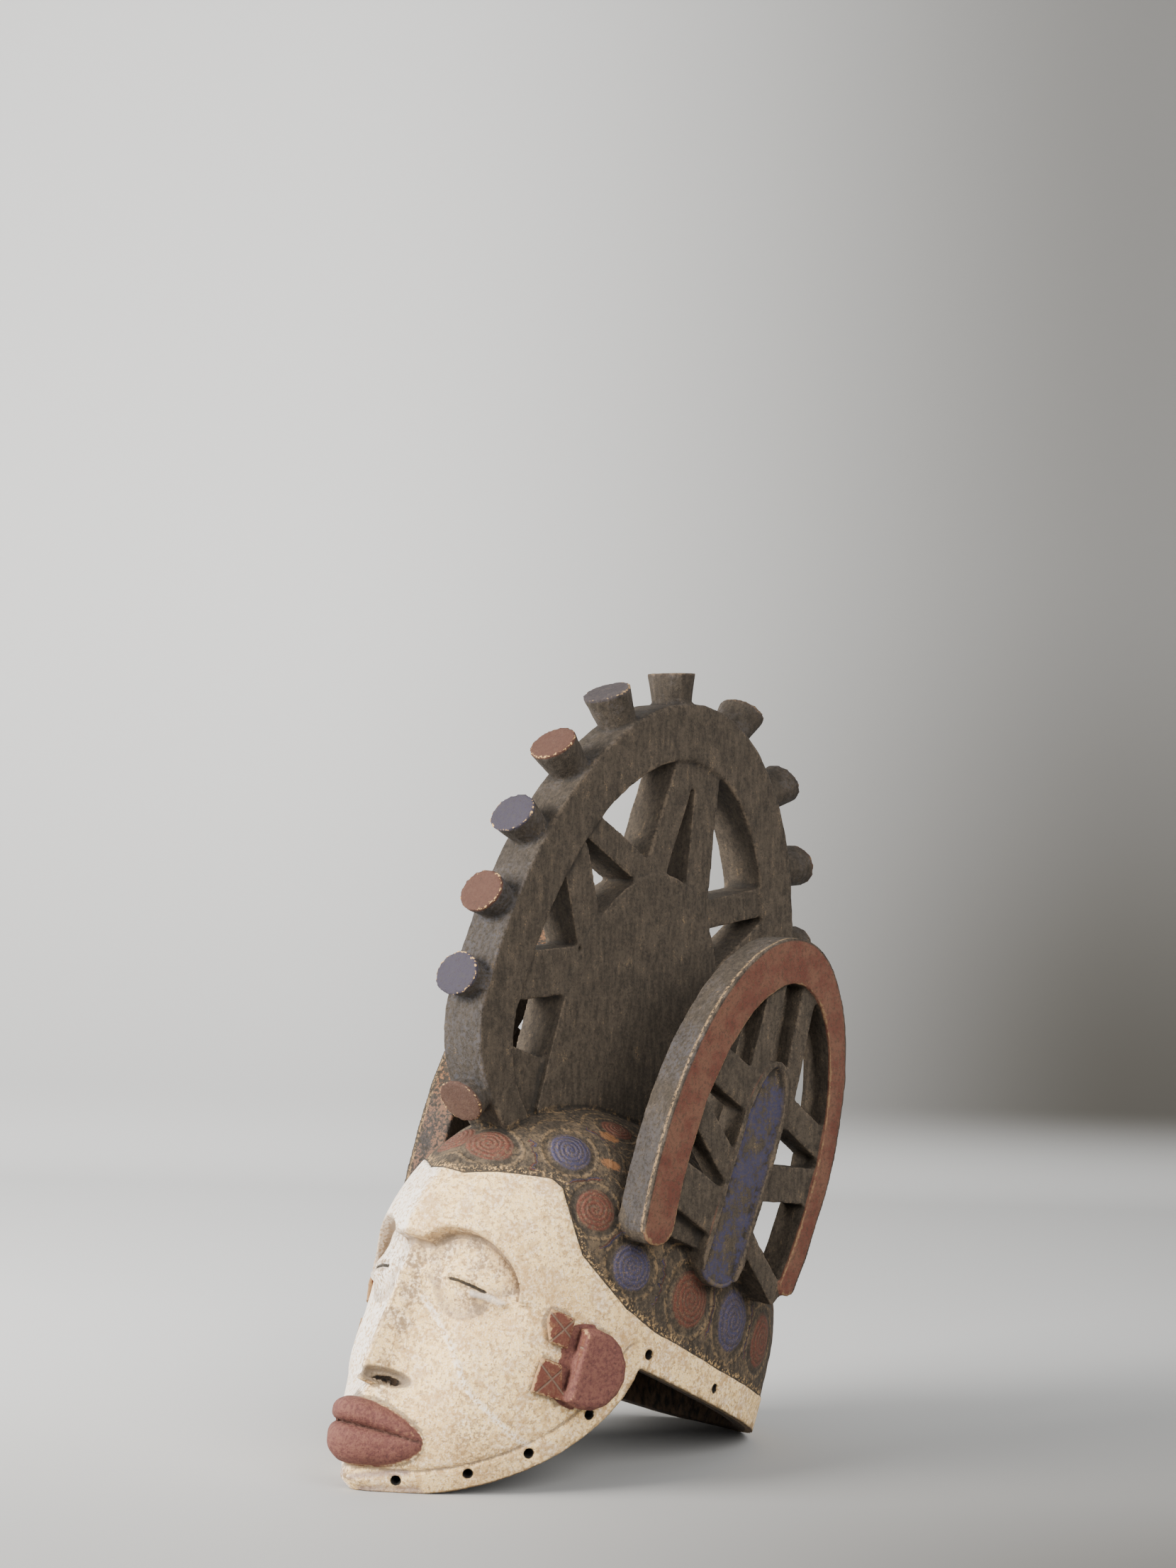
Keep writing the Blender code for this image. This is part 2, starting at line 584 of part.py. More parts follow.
def make_side_crest(side, parent):
    centre, foot, tilt = SIDE_CREST_CENTRE, SIDE_CREST_FOOT_HEIGHT, SIDE_CREST_TILT
    opening = (centre[0] + SIDE_CREST_INNER_SHIFT, centre[1])
    middle = side * SIDE_CREST_MIDDLE
    word = "left" if side > 0.0 else "right"
    lines = bar_lines(opening, SIDE_CREST_INNER, SIDE_TONGUE_CENTRE, SIDE_TONGUE_OUTER,
                      SIDE_FRONT_BARS, SIDE_REAR_BARS)
    tongue = arch_outline(SIDE_TONGUE_CENTRE, SIDE_TONGUE_OUTER, foot - FOOT_STAGGER,
                          SIDE_TONGUE_STEPS)
    tongue = tilted(tongue, centre, tilt)
    web = web_outline(centre, SIDE_CREST_OUTER, foot - 2.0 * FOOT_STAGGER, SIDE_CREST_WEB_TOPS)
    web = tilted(web, centre, tilt)
    outer = tilted(arch_outline(centre, SIDE_CREST_OUTER, foot), centre, tilt)
    inner = tilted(arch_outline(opening, SIDE_CREST_INNER, foot), centre, tilt)
    web_middle = side * (SIDE_CREST_WEB_FACE - SIDE_CREST_WEB_THICKNESS / 2.0)
    feet = (("front", outer[0], inner[0], SIDE_CREST_THICKNESS, "camwood_red"),
            ("rear", outer[-1], inner[-1], SIDE_CREST_THICKNESS, "camwood_red"),
            ("tongue", tongue[0], tongue[-1], SIDE_TONGUE_THICKNESS, "hair_brown"))
    rounded = [round_foot(f"{word}_{name}_foot", first, second, middle, thickness - 2.0 * HAIR,
                          material, parent)
               for name, first, second, thickness, material in feet]
    return [
        arch_solid(word + "_crest_arch", outer, inner, middle, SIDE_CREST_THICKNESS,
                   "camwood_red", parent),
        plate_solid(word + "_crest_tongue", tongue, middle, SIDE_TONGUE_THICKNESS,
                    "hair_brown", parent),
        plate_solid(word + "_crest_web", web, web_middle, SIDE_CREST_WEB_THICKNESS,
                    "hair_brown", parent),
    ] + rounded + bar_solids(word + "_crest_bar", lines, middle, SIDE_BAR_THICKNESS, centre,
                             tilt, "hair_brown", parent)


def arch_walk(distance, side):
    """Walk along the middle crest's outer edge from its apex: place and outward direction."""
    turn, walked = 0.0, 0.0
    step = 0.25
    here = Vector(arch_point(CREST_CENTRE, CREST_OUTER, turn, side))
    while walked < distance:
        turn += step
        after = Vector(arch_point(CREST_CENTRE, CREST_OUTER, turn, side))
        walked += (after - here).length
        here = after
    before = Vector(arch_point(CREST_CENTRE, CREST_OUTER, turn - step, side))
    after = Vector(arch_point(CREST_CENTRE, CREST_OUTER, turn + step, side))
    along = (after - before).normalized()
    out = Vector((along.y, -along.x)) * -side
    return here, out


def make_knobs(parent):
    """Flared pegs standing square to the arch's edge."""
    builder = bmesh.new()
    for side in (-1.0, 1.0):
        for index, tall in enumerate(KNOB_HEIGHTS):
            distance = KNOB_FIRST + KNOB_SPACING * index
            if index == len(KNOB_HEIGHTS) - 1:
                distance += KNOB_LOWEST_EXTRA
            spot, out = arch_walk(distance, side)
            base = spot - out * SINK
            top = spot + out * tall
            along = Vector((out.y, -out.x))
            rings = []
            for centre, (across, lengthwise) in ((base, KNOB_BASE), (top, KNOB_TOP)):
                ring = []
                for corner in range(KNOB_SIDES):
                    turn = 2.0 * math.pi * corner / KNOB_SIDES
                    shift = centre + along * math.sin(turn) * lengthwise / 2.0
                    x = math.cos(turn) * across / 2.0
                    ring.append(builder.verts.new((x, shift.x, shift.y)))
                rings.append(ring)
            for corner in range(KNOB_SIDES):
                after = (corner + 1) % KNOB_SIDES
                builder.faces.new((rings[0][corner], rings[0][after],
                                   rings[1][after], rings[1][corner]))
            builder.faces.new(rings[0])
            builder.faces.new(rings[1])
    return link_mesh("knobs", builder, "camwood_red", parent)


def standing_plate(builder, frame, outline, low, high, edge=0.0):
    """A plate on the head's side: an outline in the frame's plane, its upper rim cut off by edge."""
    middle = Vector((sum(x for x, y in outline), sum(y for x, y in outline))) / len(outline)
    steps = [(low, 0.0), (high, edge)]
    if edge > 0.0:
        steps.insert(1, (high - edge, 0.0))
    rings = []
    for level, inset in steps:
        ring = []
        for x, y in outline:
            inward = (middle - Vector((x, y))).normalized() * inset
            ring.append(builder.verts.new(frame @ Vector((x + inward.x, y + inward.y, level))))
        rings.append(ring)
    count = len(outline)
    for lower, upper in zip(rings, rings[1:]):
        for index in range(count):
            after = (index + 1) % count
            builder.faces.new((lower[index], lower[after], upper[after], upper[index]))
    builder.faces.new(rings[0])
    builder.faces.new(rings[-1])


def make_ears(parent):
    """Round ears on both sides, open towards the face."""
    builder = bmesh.new()
    turns = [math.radians(degrees) for degrees in range(-EAR_OPENING, EAR_OPENING + 1, 23)]
    outline = [(EAR_RADIUS * math.cos(turn), EAR_RADIUS * math.sin(turn)) for turn in turns]
    for side in (-1.0, 1.0):
        frame = surface_frame(EAR_PLACE[0], EAR_PLACE[1], side)
        standing_plate(builder, frame, outline, -2.0 * SINK, EAR_THICKNESS, edge=EAR_EDGE)
    return link_mesh("ears", builder, "camwood_red", parent)


def make_scars(parent):
    """Raised scars before each ear: a diamond above, a fan below."""
    builder = bmesh.new()
    for side in (-1.0, 1.0):
        for place, corners in ((DIAMOND_PLACE, DIAMOND_CORNERS), (FAN_PLACE, FAN_CORNERS)):
            frame = surface_frame(place[0], place[1], side)
            standing_plate(builder, frame, corners, -SINK, SCAR_THICKNESS)
    return link_mesh("scars", builder, "camwood_red", parent)


def make_eye_slits(parent):
    """The narrow slits that the wearer sees through, cut as blind grooves."""
    builder = bmesh.new()
    for side in (-1.0, 1.0):
        x, z = EYE_CENTRE
        angle = math.asin(min(0.99, (x / HALF_WIDTH) ** (FACE_SQUARENESS / 2.0)))
        spot = head_point(angle, z)
        turn = Matrix.Rotation(side * math.radians(EYE_SLIT_TURN), 3, "Z")
        slant = Matrix.Rotation(side * math.radians(EYE_SLANT), 3, "Y")
        size = Matrix.Diagonal((EYE_SLIT_LENGTH, 2.0 * EYE_SLIT_DEPTH, EYE_SLIT_WIDTH))
        frame = (turn @ slant @ size).to_4x4()
        frame.translation = Vector((side * spot.x, spot.y, z - EYE_SLIT_DROP))
        bmesh.ops.create_cube(builder, size=1.0, matrix=frame)
    return link_mesh("eye_slit_cutter", builder, "inside_brown", parent)


def lean_angle():
    """The lean at which the chin and the rim at the nape touch one floor."""
    nape_back = CENTRE_BACK + head_reaches(NAPE_HEIGHT)[1]
    nape_height = jaw_height(nape_back)
    steps = 100
    backs = [JAW_BACK * index / steps for index in range(1, steps * 4 // 5)]
    slopes = [(nape_height - jaw_height(back)) / (nape_back - back) for back in backs]
    return math.atan(max(slopes)), nape_back, nape_height


def make_floor(lean, nape_back, nape_height, parent):
    """A slab below the floor line, let in by the worn flats."""
    slope = Vector((0.0, -math.cos(lean), -math.sin(lean)))
    up = Vector((0.0, -math.sin(lean), math.cos(lean)))
    corner = Vector((0.0, nape_back, nape_height))
    centre = corner + slope * (nape_back / 2.0) + up * (CONTACT_TRIM - FLOOR_SIZE[2] / 2.0)
    builder = bmesh.new()
    bmesh.ops.create_cube(builder, size=1.0)
    for vert in builder.verts:
        across, along, level = (part * size for part, size in zip(vert.co, FLOOR_SIZE))
        vert.co = centre + Vector((across, 0.0, 0.0)) - slope * along + up * level
    return link_mesh("floor_cutter", builder, "kaolin_white", parent)


def combine(target, other, operation):
    step = target.modifiers.new(operation.lower() + "_" + other.name, "BOOLEAN")
    step.operation = operation
    step.solver = "EXACT"
    step.object = other
    step.material_mode = "TRANSFER"


def stand_up(stand, mask, lean):
    """Lean the mask back and set the middle of its box on the origin."""
    stand.rotation_euler = (-lean, 0.0, 0.0)
    bpy.context.view_layer.update()
    graph = bpy.context.evaluated_depsgraph_get()
    shape = mask.evaluated_get(graph)
    corners = [shape.matrix_world @ vert.co for vert in shape.data.vertices]
    lows = [min(corner[axis] for corner in corners) for axis in range(3)]
    highs = [max(corner[axis] for corner in corners) for axis in range(3)]
    stand.location = (-(lows[0] + highs[0]) / 2.0, -(lows[1] + highs[1]) / 2.0, -lows[2])
    bpy.context.view_layer.update()


def main():
    clear_scene()
    stand = bpy.data.objects.new("lean_back", None)
    bpy.context.scene.collection.objects.link(stand)
    mask = make_head(stand)
    for form in make_middle_crest(stand):
        combine(mask, form, "UNION")
    for side in (1.0, -1.0):
        for form in make_side_crest(side, stand):
            combine(mask, form, "UNION")
    combine(mask, make_knobs(stand), "UNION")
    combine(mask, make_ears(stand), "UNION")
    combine(mask, make_scars(stand), "UNION")
    combine(mask, make_eye_slits(stand), "DIFFERENCE")
    combine(mask, make_cavity(stand), "DIFFERENCE")
    combine(mask, make_underside(stand), "DIFFERENCE")
    combine(mask, make_rim_holes(stand), "DIFFERENCE")
    lean, nape_back, nape_height = lean_angle()
    combine(mask, make_floor(lean, nape_back, nape_height, stand), "DIFFERENCE")
    stand_up(stand, mask, lean)


main()
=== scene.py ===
"""Looks of the carved helmet mask: fine carving, paint and wear, with its ground, lights and camera.

Mask frame, as in the solid's source: x is the mask's own left, back runs from the chin to the
nape, height runs up the face. The mask leans back by LEAN in the row frame. Lengths are metres,
and what the paint reads from the surface is in millimetres.
"""
import math

import bpy
import numpy as np
from bpy.props import FloatProperty, FloatVectorProperty, IntProperty, PointerProperty
from mathutils import Matrix, Vector, noise
from mathutils.kdtree import KDTree


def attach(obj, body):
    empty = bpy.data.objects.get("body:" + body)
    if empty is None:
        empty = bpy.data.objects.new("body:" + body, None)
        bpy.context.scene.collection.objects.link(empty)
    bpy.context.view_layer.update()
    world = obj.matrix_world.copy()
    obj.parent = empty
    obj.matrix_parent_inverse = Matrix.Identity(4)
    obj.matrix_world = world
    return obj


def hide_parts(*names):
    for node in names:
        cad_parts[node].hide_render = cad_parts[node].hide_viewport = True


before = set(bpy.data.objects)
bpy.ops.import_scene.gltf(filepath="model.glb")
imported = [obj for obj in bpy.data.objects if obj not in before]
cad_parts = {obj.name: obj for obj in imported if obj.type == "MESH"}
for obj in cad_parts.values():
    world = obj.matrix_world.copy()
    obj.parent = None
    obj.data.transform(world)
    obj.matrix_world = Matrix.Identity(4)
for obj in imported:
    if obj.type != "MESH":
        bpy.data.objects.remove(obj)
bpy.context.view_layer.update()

bl_info = {
    "name": "Carved Helmet Mask",
    "version": (1, 0, 0),
    "blender": (4, 5, 0),
    "location": "3D View > Sidebar > Mask",
    "description": "Fine carving, paint and wear of a carved helmet mask, and its studio",
    "category": "Object",
}

MM = 0.001

# How the mask stands: its lean, and where the mask frame's zero lies in the row frame
LEAN = math.radians(17.666)
STAND = (0.0, -0.18871, -0.00113)

# Both sides of the mask stand out and forward, away from the middle crest, as in the solid
SPREAD_FROM = 0.0192
SPREAD_OUT = 0.145
SPREAD_FORWARD = 0.140

# Head, the same sizes as the solid's
CENTRE_BACK = 0.125
FRONT_REACH = 0.135
REAR_REACH = 0.187
HALF_WIDTH = 0.093
WIDEST_HEIGHT = 0.150
CROWN_HEIGHT = 0.278
CHIN_DROP = 0.006
FACE_SQUARENESS = 1.8
NAPE_SQUARENESS = 2.4
CROWN_ROUNDNESS = 2.1
FRONT_DROP_ROUNDNESS = 12.0
REAR_DROP_ROUNDNESS = 4.0
SIDE_DROP_ROUNDNESS = 2.8
JAW_BACK = 0.124
JAW_RISE = 0.119
JAW_ROUNDNESS = 1.46
JAW_LINE_END = 0.330
NAPE_HEIGHT = 0.098

# Face
BROW_BULGE = 0.004
SOCKET_DEPTH = 0.0115
SOCKET_CENTRE = (0.035, 0.137)
SOCKET_SIZE = (0.029, 0.034)
SOCKET_INNER = 0.0135
SOCKET_INNER_TOP = 0.1600
CHEEK_HOLLOW = 0.007
MUZZLE_BULGE = 0.006
NOSE_TOP_HEIGHT = 0.161
NOSE_TIP_HEIGHT = 0.066
NOSE_BRIDGE_BACK = -0.004
NOSE_TIP_BACK = -0.021
NOSE_RIDGE_HALF_WIDTH = 0.0022
NOSE_HALF_WIDTHS = (0.013, 0.022)
NOSE_SIDE_BACK = 0.008
EYE_CENTRE = (0.043, 0.140)
EYE_SIZE = (0.026, 0.0180)
EYE_BULGE = 0.006
MOUTH_HEIGHT = 0.039
MOUTH_HALF_WIDTH = 0.038
UPPER_LIP_HEIGHT = 0.017
LOWER_LIP_HEIGHT = 0.024
UPPER_LIP_BULGE = 0.013
LOWER_LIP_BULGE = 0.014
CHIN_BULGE = 0.005
CHIN_HEIGHT = 0.007
EYE_SLIT = ((0.0285, 0.1400), (0.0345, 0.1402), (0.0430, 0.1388), (0.0490, 0.1372))
EYE_LID = ((0.0450, 0.1345), (0.0500, 0.1350), (0.0560, 0.1335))
NOSE_UNDERSIDE = (0.0105, 0.0715)
NOSE_UNDERSIDE_SIZE = (0.0120, 0.0055)
NOSTRIL = (0.0115, 0.0695)
CHIN_GROOVES = (((0.004, 0.008), (0.016, 0.013), (0.030, 0.019)),
                ((0.006, 0.002), (0.020, 0.006), (0.033, 0.011)))

# How far a facet may move onto the carved form: anywhere, on the face, at the slit, at the bridge
FACET_REACH = 0.0025
FACE_REACH = 0.0045
SLIT_REACH = 0.004
BRIDGE_REACH = 0.012
BRIDGE_SIZE = (0.024, 0.030)

# An ochre stain low on the cheek, as (x, height)
LOW_STAIN = (0.056, 0.045)
LOW_STAIN_SIZE = (0.013, 0.022)

# Lacing holes
RIM_HOLE_RADIUS = 0.00325
RIM_HOLE_INSET = 0.0105
RIM_HOLE_BACKS = (0.012, 0.046, 0.075, 0.105, 0.128, 0.201)

# Ears and scars, places as (back, height)
EAR_PLACE = (0.083, 0.110)
EAR_REACH = 0.0285
SCAR_PLACES = ((0.060, 0.129), (0.061, 0.098))
SCAR_REACH = 0.0195

# Crests
CREST_CENTRE = (0.127, 0.318)
CREST_OUTER = (0.144, 0.247, 0.104)
CREST_HALF_THICKNESS = 0.018
KNOB_FIRST = 0.031
KNOB_SPACING = 0.0545
KNOB_LOWEST_EXTRA = 0.022
KNOB_HEIGHTS = (0.021, 0.024, 0.024, 0.020, 0.016, 0.013, 0.011)
KNOB_REACH = 0.026
SIDE_CREST_CENTRE = (0.166, 0.265)
SIDE_CREST_OUTER = (0.081, 0.153, 0.190)
SIDE_CREST_FACE = 0.104
SIDE_CREST_TILT = math.radians(4.0)
SIDE_TONGUE_CENTRE = (0.171, 0.290)
SIDE_TONGUE_OUTER = (0.020, 0.046, 0.600)
SIDE_TONGUE_FACE = 0.10275

# Upper edge of the white face and of the white band behind it: turn from the nose in degrees, height
HAIR_EDGE = ((0, 0.207), (11, 0.206), (24, 0.212), (36, 0.215), (45, 0.217), (50, 0.213),
             (57, 0.192), (62, 0.176), (70, 0.165), (80, 0.152), (92, 0.143), (103, 0.138),
             (115, 0.132), (134, 0.126), (148, 0.124), (180, 0.120))

# Spirals in the hair: place (x, back, height), half-width and half-height, turn in degrees, red share
SPIRALS = (
    ((0.016, 0.021, 0.229), (0.0170, 0.0125), -8.0, 1.0),
    ((0.049, 0.061, 0.239), (0.0140, 0.0140), 0.0, 0.0),
    ((0.073, 0.072, 0.206), (0.0135, 0.0135), 0.0, 1.0),
    ((0.088, 0.101, 0.178), (0.0150, 0.0145), 0.0, 0.0),
    ((0.091, 0.157, 0.170), (0.0170, 0.0180), 0.0, 1.0),
    ((0.087, 0.207, 0.166), (0.0170, 0.0200), 0.0, 0.0),
    ((0.075, 0.252, 0.160), (0.0160, 0.0180), 0.0, 1.0),
    ((0.030, 0.300, 0.165), (0.0170, 0.0180), 0.0, 0.0),
    ((0.046, 0.272, 0.212), (0.0170, 0.0150), 0.0, 1.0),
    ((0.040, 0.105, 0.262), (0.0120, 0.0090), 0.0, 1.0),
)
ORANGE_MARKS = (((0.048, 0.094, 0.256), (0.0085, 0.0032)), ((0.062, 0.087, 0.238), (0.0085, 0.0036)))

# A long raised line down the cheek, as (x, height)
CHEEK_LINE = ((0.014, 0.125), (0.027, 0.111), (0.038, 0.101), (0.046, 0.089), (0.054, 0.075),
              (0.062, 0.067), (0.071, 0.056))

# How strongly each knob's top keeps its paint, from the forehead up and from the nape up
FRONT_KNOBS = ((0.75, "red"), (1.0, "blue"), (1.0, "red"), (1.0, "blue"), (1.0, "red"),
               (0.45, "blue"), (0.08, "red"))
REAR_KNOBS = ((0.6, "red"), (0.6, "blue"), (0.45, "red"), (0.3, "blue"), (0.35, "red"),
              (0.15, "blue"), (0.1, "red"))


def fullness(ratio, power):
    """Height of a rounded profile, 1 at ratio 0 and 0 at ratio 1."""
    return (1.0 - np.minimum(np.abs(ratio), 1.0) ** power) ** (1.0 / power)


def smooth(value, start, end):
    """0 at start, 1 at end, eased between them."""
    share = np.clip((value - start) / (end - start), 0.0, 1.0)
    return share * share * (3.0 - 2.0 * share)


def hump(offset, spread):
    return np.exp(-(offset / spread) ** 2)


def to_mask(points):
    """Row frame to mask frame, with both sides drawn in again."""
    x = points[:, 0] - STAND[0]
    beyond = np.maximum(np.abs(x) - SPREAD_FROM, 0.0) / (1.0 + SPREAD_OUT)
    y = points[:, 1] - STAND[1] + SPREAD_FORWARD * beyond
    z = points[:, 2] - STAND[2]
    back = y * math.cos(LEAN) - z * math.sin(LEAN)
    height = y * math.sin(LEAN) + z * math.cos(LEAN)
    return np.stack((x - np.sign(x) * SPREAD_OUT * beyond, back, height), 1)


def to_row(points):
    """Mask frame to row frame, with both sides set out."""
    x, back, height = points.T
    beyond = np.maximum(np.abs(x) - SPREAD_FROM, 0.0)
    y = back * math.cos(LEAN) + height * math.sin(LEAN) - SPREAD_FORWARD * beyond + STAND[1]
    z = -back * math.sin(LEAN) + height * math.cos(LEAN) + STAND[2]
    return np.stack((x + np.sign(x) * SPREAD_OUT * beyond + STAND[0], y, z), 1)


def turned(directions, angle):
    """Directions turned about the x axis."""
    y, z = directions[:, 1], directions[:, 2]
    return np.stack((directions[:, 0], y * math.cos(angle) - z * math.sin(angle),
                     y * math.sin(angle) + z * math.cos(angle)), 1)


def head_reaches(height):
    """How far the head's surface lies from its centre line: to the front, the rear, the side."""
    above = fullness((height - WIDEST_HEIGHT) / (CROWN_HEIGHT - WIDEST_HEIGHT), CROWN_ROUNDNESS)
    drop = (WIDEST_HEIGHT - height) / (WIDEST_HEIGHT + CHIN_DROP)
    high = height >= WIDEST_HEIGHT
    return (FRONT_REACH * np.where(high, above, fullness(drop, FRONT_DROP_ROUNDNESS)),
            REAR_REACH * np.where(high, above, fullness(drop, REAR_DROP_ROUNDNESS)),
            HALF_WIDTH * np.where(high, above, fullness(drop, SIDE_DROP_ROUNDNESS)))


def nose_back(x, z):
    """Where the nose's planes lie, or far back where there is no nose."""
    share = np.clip((NOSE_TOP_HEIGHT - z) / (NOSE_TOP_HEIGHT - NOSE_TIP_HEIGHT), 0.0, 1.0)
    ridge = NOSE_BRIDGE_BACK + (NOSE_TIP_BACK - NOSE_BRIDGE_BACK) * share
    wide = NOSE_HALF_WIDTHS[0] + (NOSE_HALF_WIDTHS[1] - NOSE_HALF_WIDTHS[0]) * share
    ridge_half = NOSE_RIDGE_HALF_WIDTH * (0.7 + 0.3 * share)
    across = np.maximum(np.abs(x) - ridge_half, 0.0) / (wide - ridge_half)
    tip = NOSE_TIP_HEIGHT + 0.30 * np.abs(x)
    under = smooth(z, tip, tip - 0.0035)
    back = ridge + (NOSE_SIDE_BACK - ridge) * np.maximum(across, under)
    return np.where((z > NOSE_TOP_HEIGHT) | (z < NOSE_TIP_HEIGHT - 0.004), 1.0, back)


def lip_shares(x, z):
    """Share of the way across each lip, 0 at the mouth line and 1 at the lip's edge, and the taper."""
    taper = np.sqrt(np.maximum(1.0 - (x / MOUTH_HALF_WIDTH) ** 2, 1e-6))
    above = (z - MOUTH_HEIGHT) / (UPPER_LIP_HEIGHT * taper)
    below = (MOUTH_HEIGHT - z) / (LOWER_LIP_HEIGHT * taper)
    return above, below, taper


def lip_bulge(x, z):
    above, below, taper = lip_shares(x, z)
    upper = np.sqrt(np.maximum(0.0, 1.0 - np.abs(2.0 * above - 1.0) ** 2.6))
    lower = np.sqrt(np.maximum(0.0, 1.0 - np.abs(2.0 * below - 1.0) ** 2.6))
    bulge = np.where(above >= 0.0, UPPER_LIP_BULGE * upper, LOWER_LIP_BULGE * lower)
    return np.where(np.abs(x) < MOUTH_HALF_WIDTH, bulge * taper, 0.0)


def socket_reach(x, z):
    """Distance from the middle of the eye socket, 1 along the brow's arc."""
    side = np.abs(x)
    reach = np.hypot((side - SOCKET_CENTRE[0]) / SOCKET_SIZE[0], (z - SOCKET_CENTRE[1]) / SOCKET_SIZE[1])
    beside_nose = 1.0 + (z - SOCKET_INNER_TOP) / SOCKET_SIZE[1]
    return np.where(side < SOCKET_INNER, np.minimum(reach, beside_nose), reach)


def face_forward(x, z):
    """How far the carved face stands forward of the head's plain form."""
    side = np.abs(x)
    under_brow = smooth(socket_reach(x, z), 1.03, 0.93) * (1.0 - 0.35 * smooth(z, 0.150, 0.136))
    across = np.abs(side - SOCKET_CENTRE[0]) / SOCKET_SIZE[0]
    fade = smooth(z, SOCKET_CENTRE[1] - 0.055, SOCKET_CENTRE[1])
    low = smooth(across, 1.3, 0.7) * fade * 0.65
    socket = np.where(z < SOCKET_CENTRE[1], low, under_brow)
    cheek = hump(side - 0.025, 0.018) * smooth(z, 0.048, 0.070) * smooth(z, 0.150, 0.110)
    brow = hump(z - 0.168, 0.022) * hump(side, 0.060)
    muzzle = hump(side, 0.022) * hump(z - 0.040, 0.024)
    chin = hump(side, 0.016) * hump(z - CHIN_HEIGHT, 0.006)
    eye = np.maximum(0.0, 1.0 - np.hypot((side - EYE_CENTRE[0]) / EYE_SIZE[0],
                                         (z - EYE_CENTRE[1]) / EYE_SIZE[1]) ** 2)
    return (BROW_BULGE * brow - SOCKET_DEPTH * socket - CHEEK_HOLLOW * cheek
            + MUZZLE_BULGE * muzzle + CHIN_BULGE * chin + EYE_BULGE * eye ** 2)


def face_back(x, height):
    """How far back the carved face lies at a place seen from the front."""
    front, rear, side = head_reaches(height)
    side = np.maximum(side, 1e-4)
    plain = CENTRE_BACK - front * fullness(x / side, FACE_SQUARENESS)
    back = plain - face_forward(x, height)
    return np.minimum(back, nose_back(x, height)) - lip_bulge(x, height)


def nose_underside(x, z):
    """Distance from the middle of the nose's underside, 1 along its edge."""
    return np.hypot((np.abs(x) - NOSE_UNDERSIDE[0]) / NOSE_UNDERSIDE_SIZE[0],
                    (z - NOSE_UNDERSIDE[1]) / NOSE_UNDERSIDE_SIZE[1])


def rise_over_head(points):
    """Signed distance of points over the plain head, and where each one's foot lies on it."""
    x, back, height = points.T
    ahead = CENTRE_BACK - back
    square = np.where(ahead >= 0.0, FACE_SQUARENESS, NAPE_SQUARENESS)
    wide_reach = np.where(ahead >= 0.0, FRONT_REACH, REAR_REACH)
    around = ((np.abs(x) / HALF_WIDTH) ** square + (np.abs(ahead) / wide_reach) ** square) ** (1.0 / square)
    up = np.maximum(height - WIDEST_HEIGHT, 0.0) / (CROWN_HEIGHT - WIDEST_HEIGHT)
    upper = (around ** CROWN_ROUNDNESS + up ** CROWN_ROUNDNESS) ** (1.0 / CROWN_ROUNDNESS)
    front, rear, side = head_reaches(np.minimum(height, WIDEST_HEIGHT))
    reach = np.maximum(np.where(ahead >= 0.0, front, rear), 1e-4)
    side = np.maximum(side, 1e-4)
    lower = ((np.abs(x) / side) ** square + (np.abs(ahead) / reach) ** square) ** (1.0 / square)
    level = np.maximum(np.where(height >= WIDEST_HEIGHT, upper, lower), 1e-3)
    centre = np.stack((np.zeros_like(x), np.full_like(x, CENTRE_BACK), np.minimum(height, WIDEST_HEIGHT)), 1)
    spoke = points - centre
    length = np.linalg.norm(spoke, axis=1)
    return length * (1.0 - 1.0 / level), centre + spoke / level[:, None]


def front_share(points):
    """1 where the face is carved from the front, 0 on the sides and over the hair."""
    x, back, height = points.T
    front, rear, side = head_reaches(height)
    across = np.abs(x) / np.maximum(side, 1e-4)
    return smooth(across, 0.93, 0.84) * smooth(height, 0.232, 0.205) * (back < CENTRE_BACK)


def refine_head(points, normals):
    """Move the head's coarse facets onto its smooth carved form. Returns points and head share."""
    x, back, height = points.T
    rise, foot = rise_over_head(points)
    outward = foot - np.array((0.0, CENTRE_BACK, 0.0))
    outward[:, 2] = np.maximum(height - WIDEST_HEIGHT, 0.0)
    outward /= np.linalg.norm(outward, axis=1)[:, None]
    faces_out = smooth(np.sum(outward * normals, axis=1), 0.15, 0.5)
    side_share = smooth(np.abs(rise), 0.0030, 0.0016) * faces_out
    target = face_back(x, height)
    step = 0.0006
    slope = np.hypot((face_back(x + step, height) - face_back(x - step, height)),
                     (face_back(x, height + step) - face_back(x, height - step))) / (2.0 * step)
    gap = (target - back) / np.sqrt(1.0 + np.minimum(slope, 2.0) ** 2)
    clear_of_holes = smooth(hole_distance(points), RIM_HOLE_RADIUS + 0.0004, RIM_HOLE_RADIUS + 0.0014)
    slit = line_distance(np.stack((np.abs(x), height), 1), EYE_SLIT)
    by_bridge = np.hypot(x / BRIDGE_SIZE[0], (height - NOSE_TOP_HEIGHT) / BRIDGE_SIZE[1])
    allowed = FACET_REACH + FACE_REACH * smooth(np.abs(x), 0.072, 0.062)
    allowed += SLIT_REACH * smooth(slit, 0.009, 0.006) + BRIDGE_REACH * smooth(by_bridge, 1.0, 0.8)
    face_share = smooth(np.abs(gap), allowed + 0.001, allowed) * smooth(normals[:, 1], 0.25, -0.05)
    face_share = face_share * clear_of_holes
    in_front = front_share(points)
    moved = points.copy()
    moved += (foot - points) * (side_share * (1.0 - in_front))[:, None]
    moved[:, 1] += (target - back) * face_share * in_front
    head = np.maximum(side_share * (1.0 - in_front), face_share * in_front)
    return moved, head


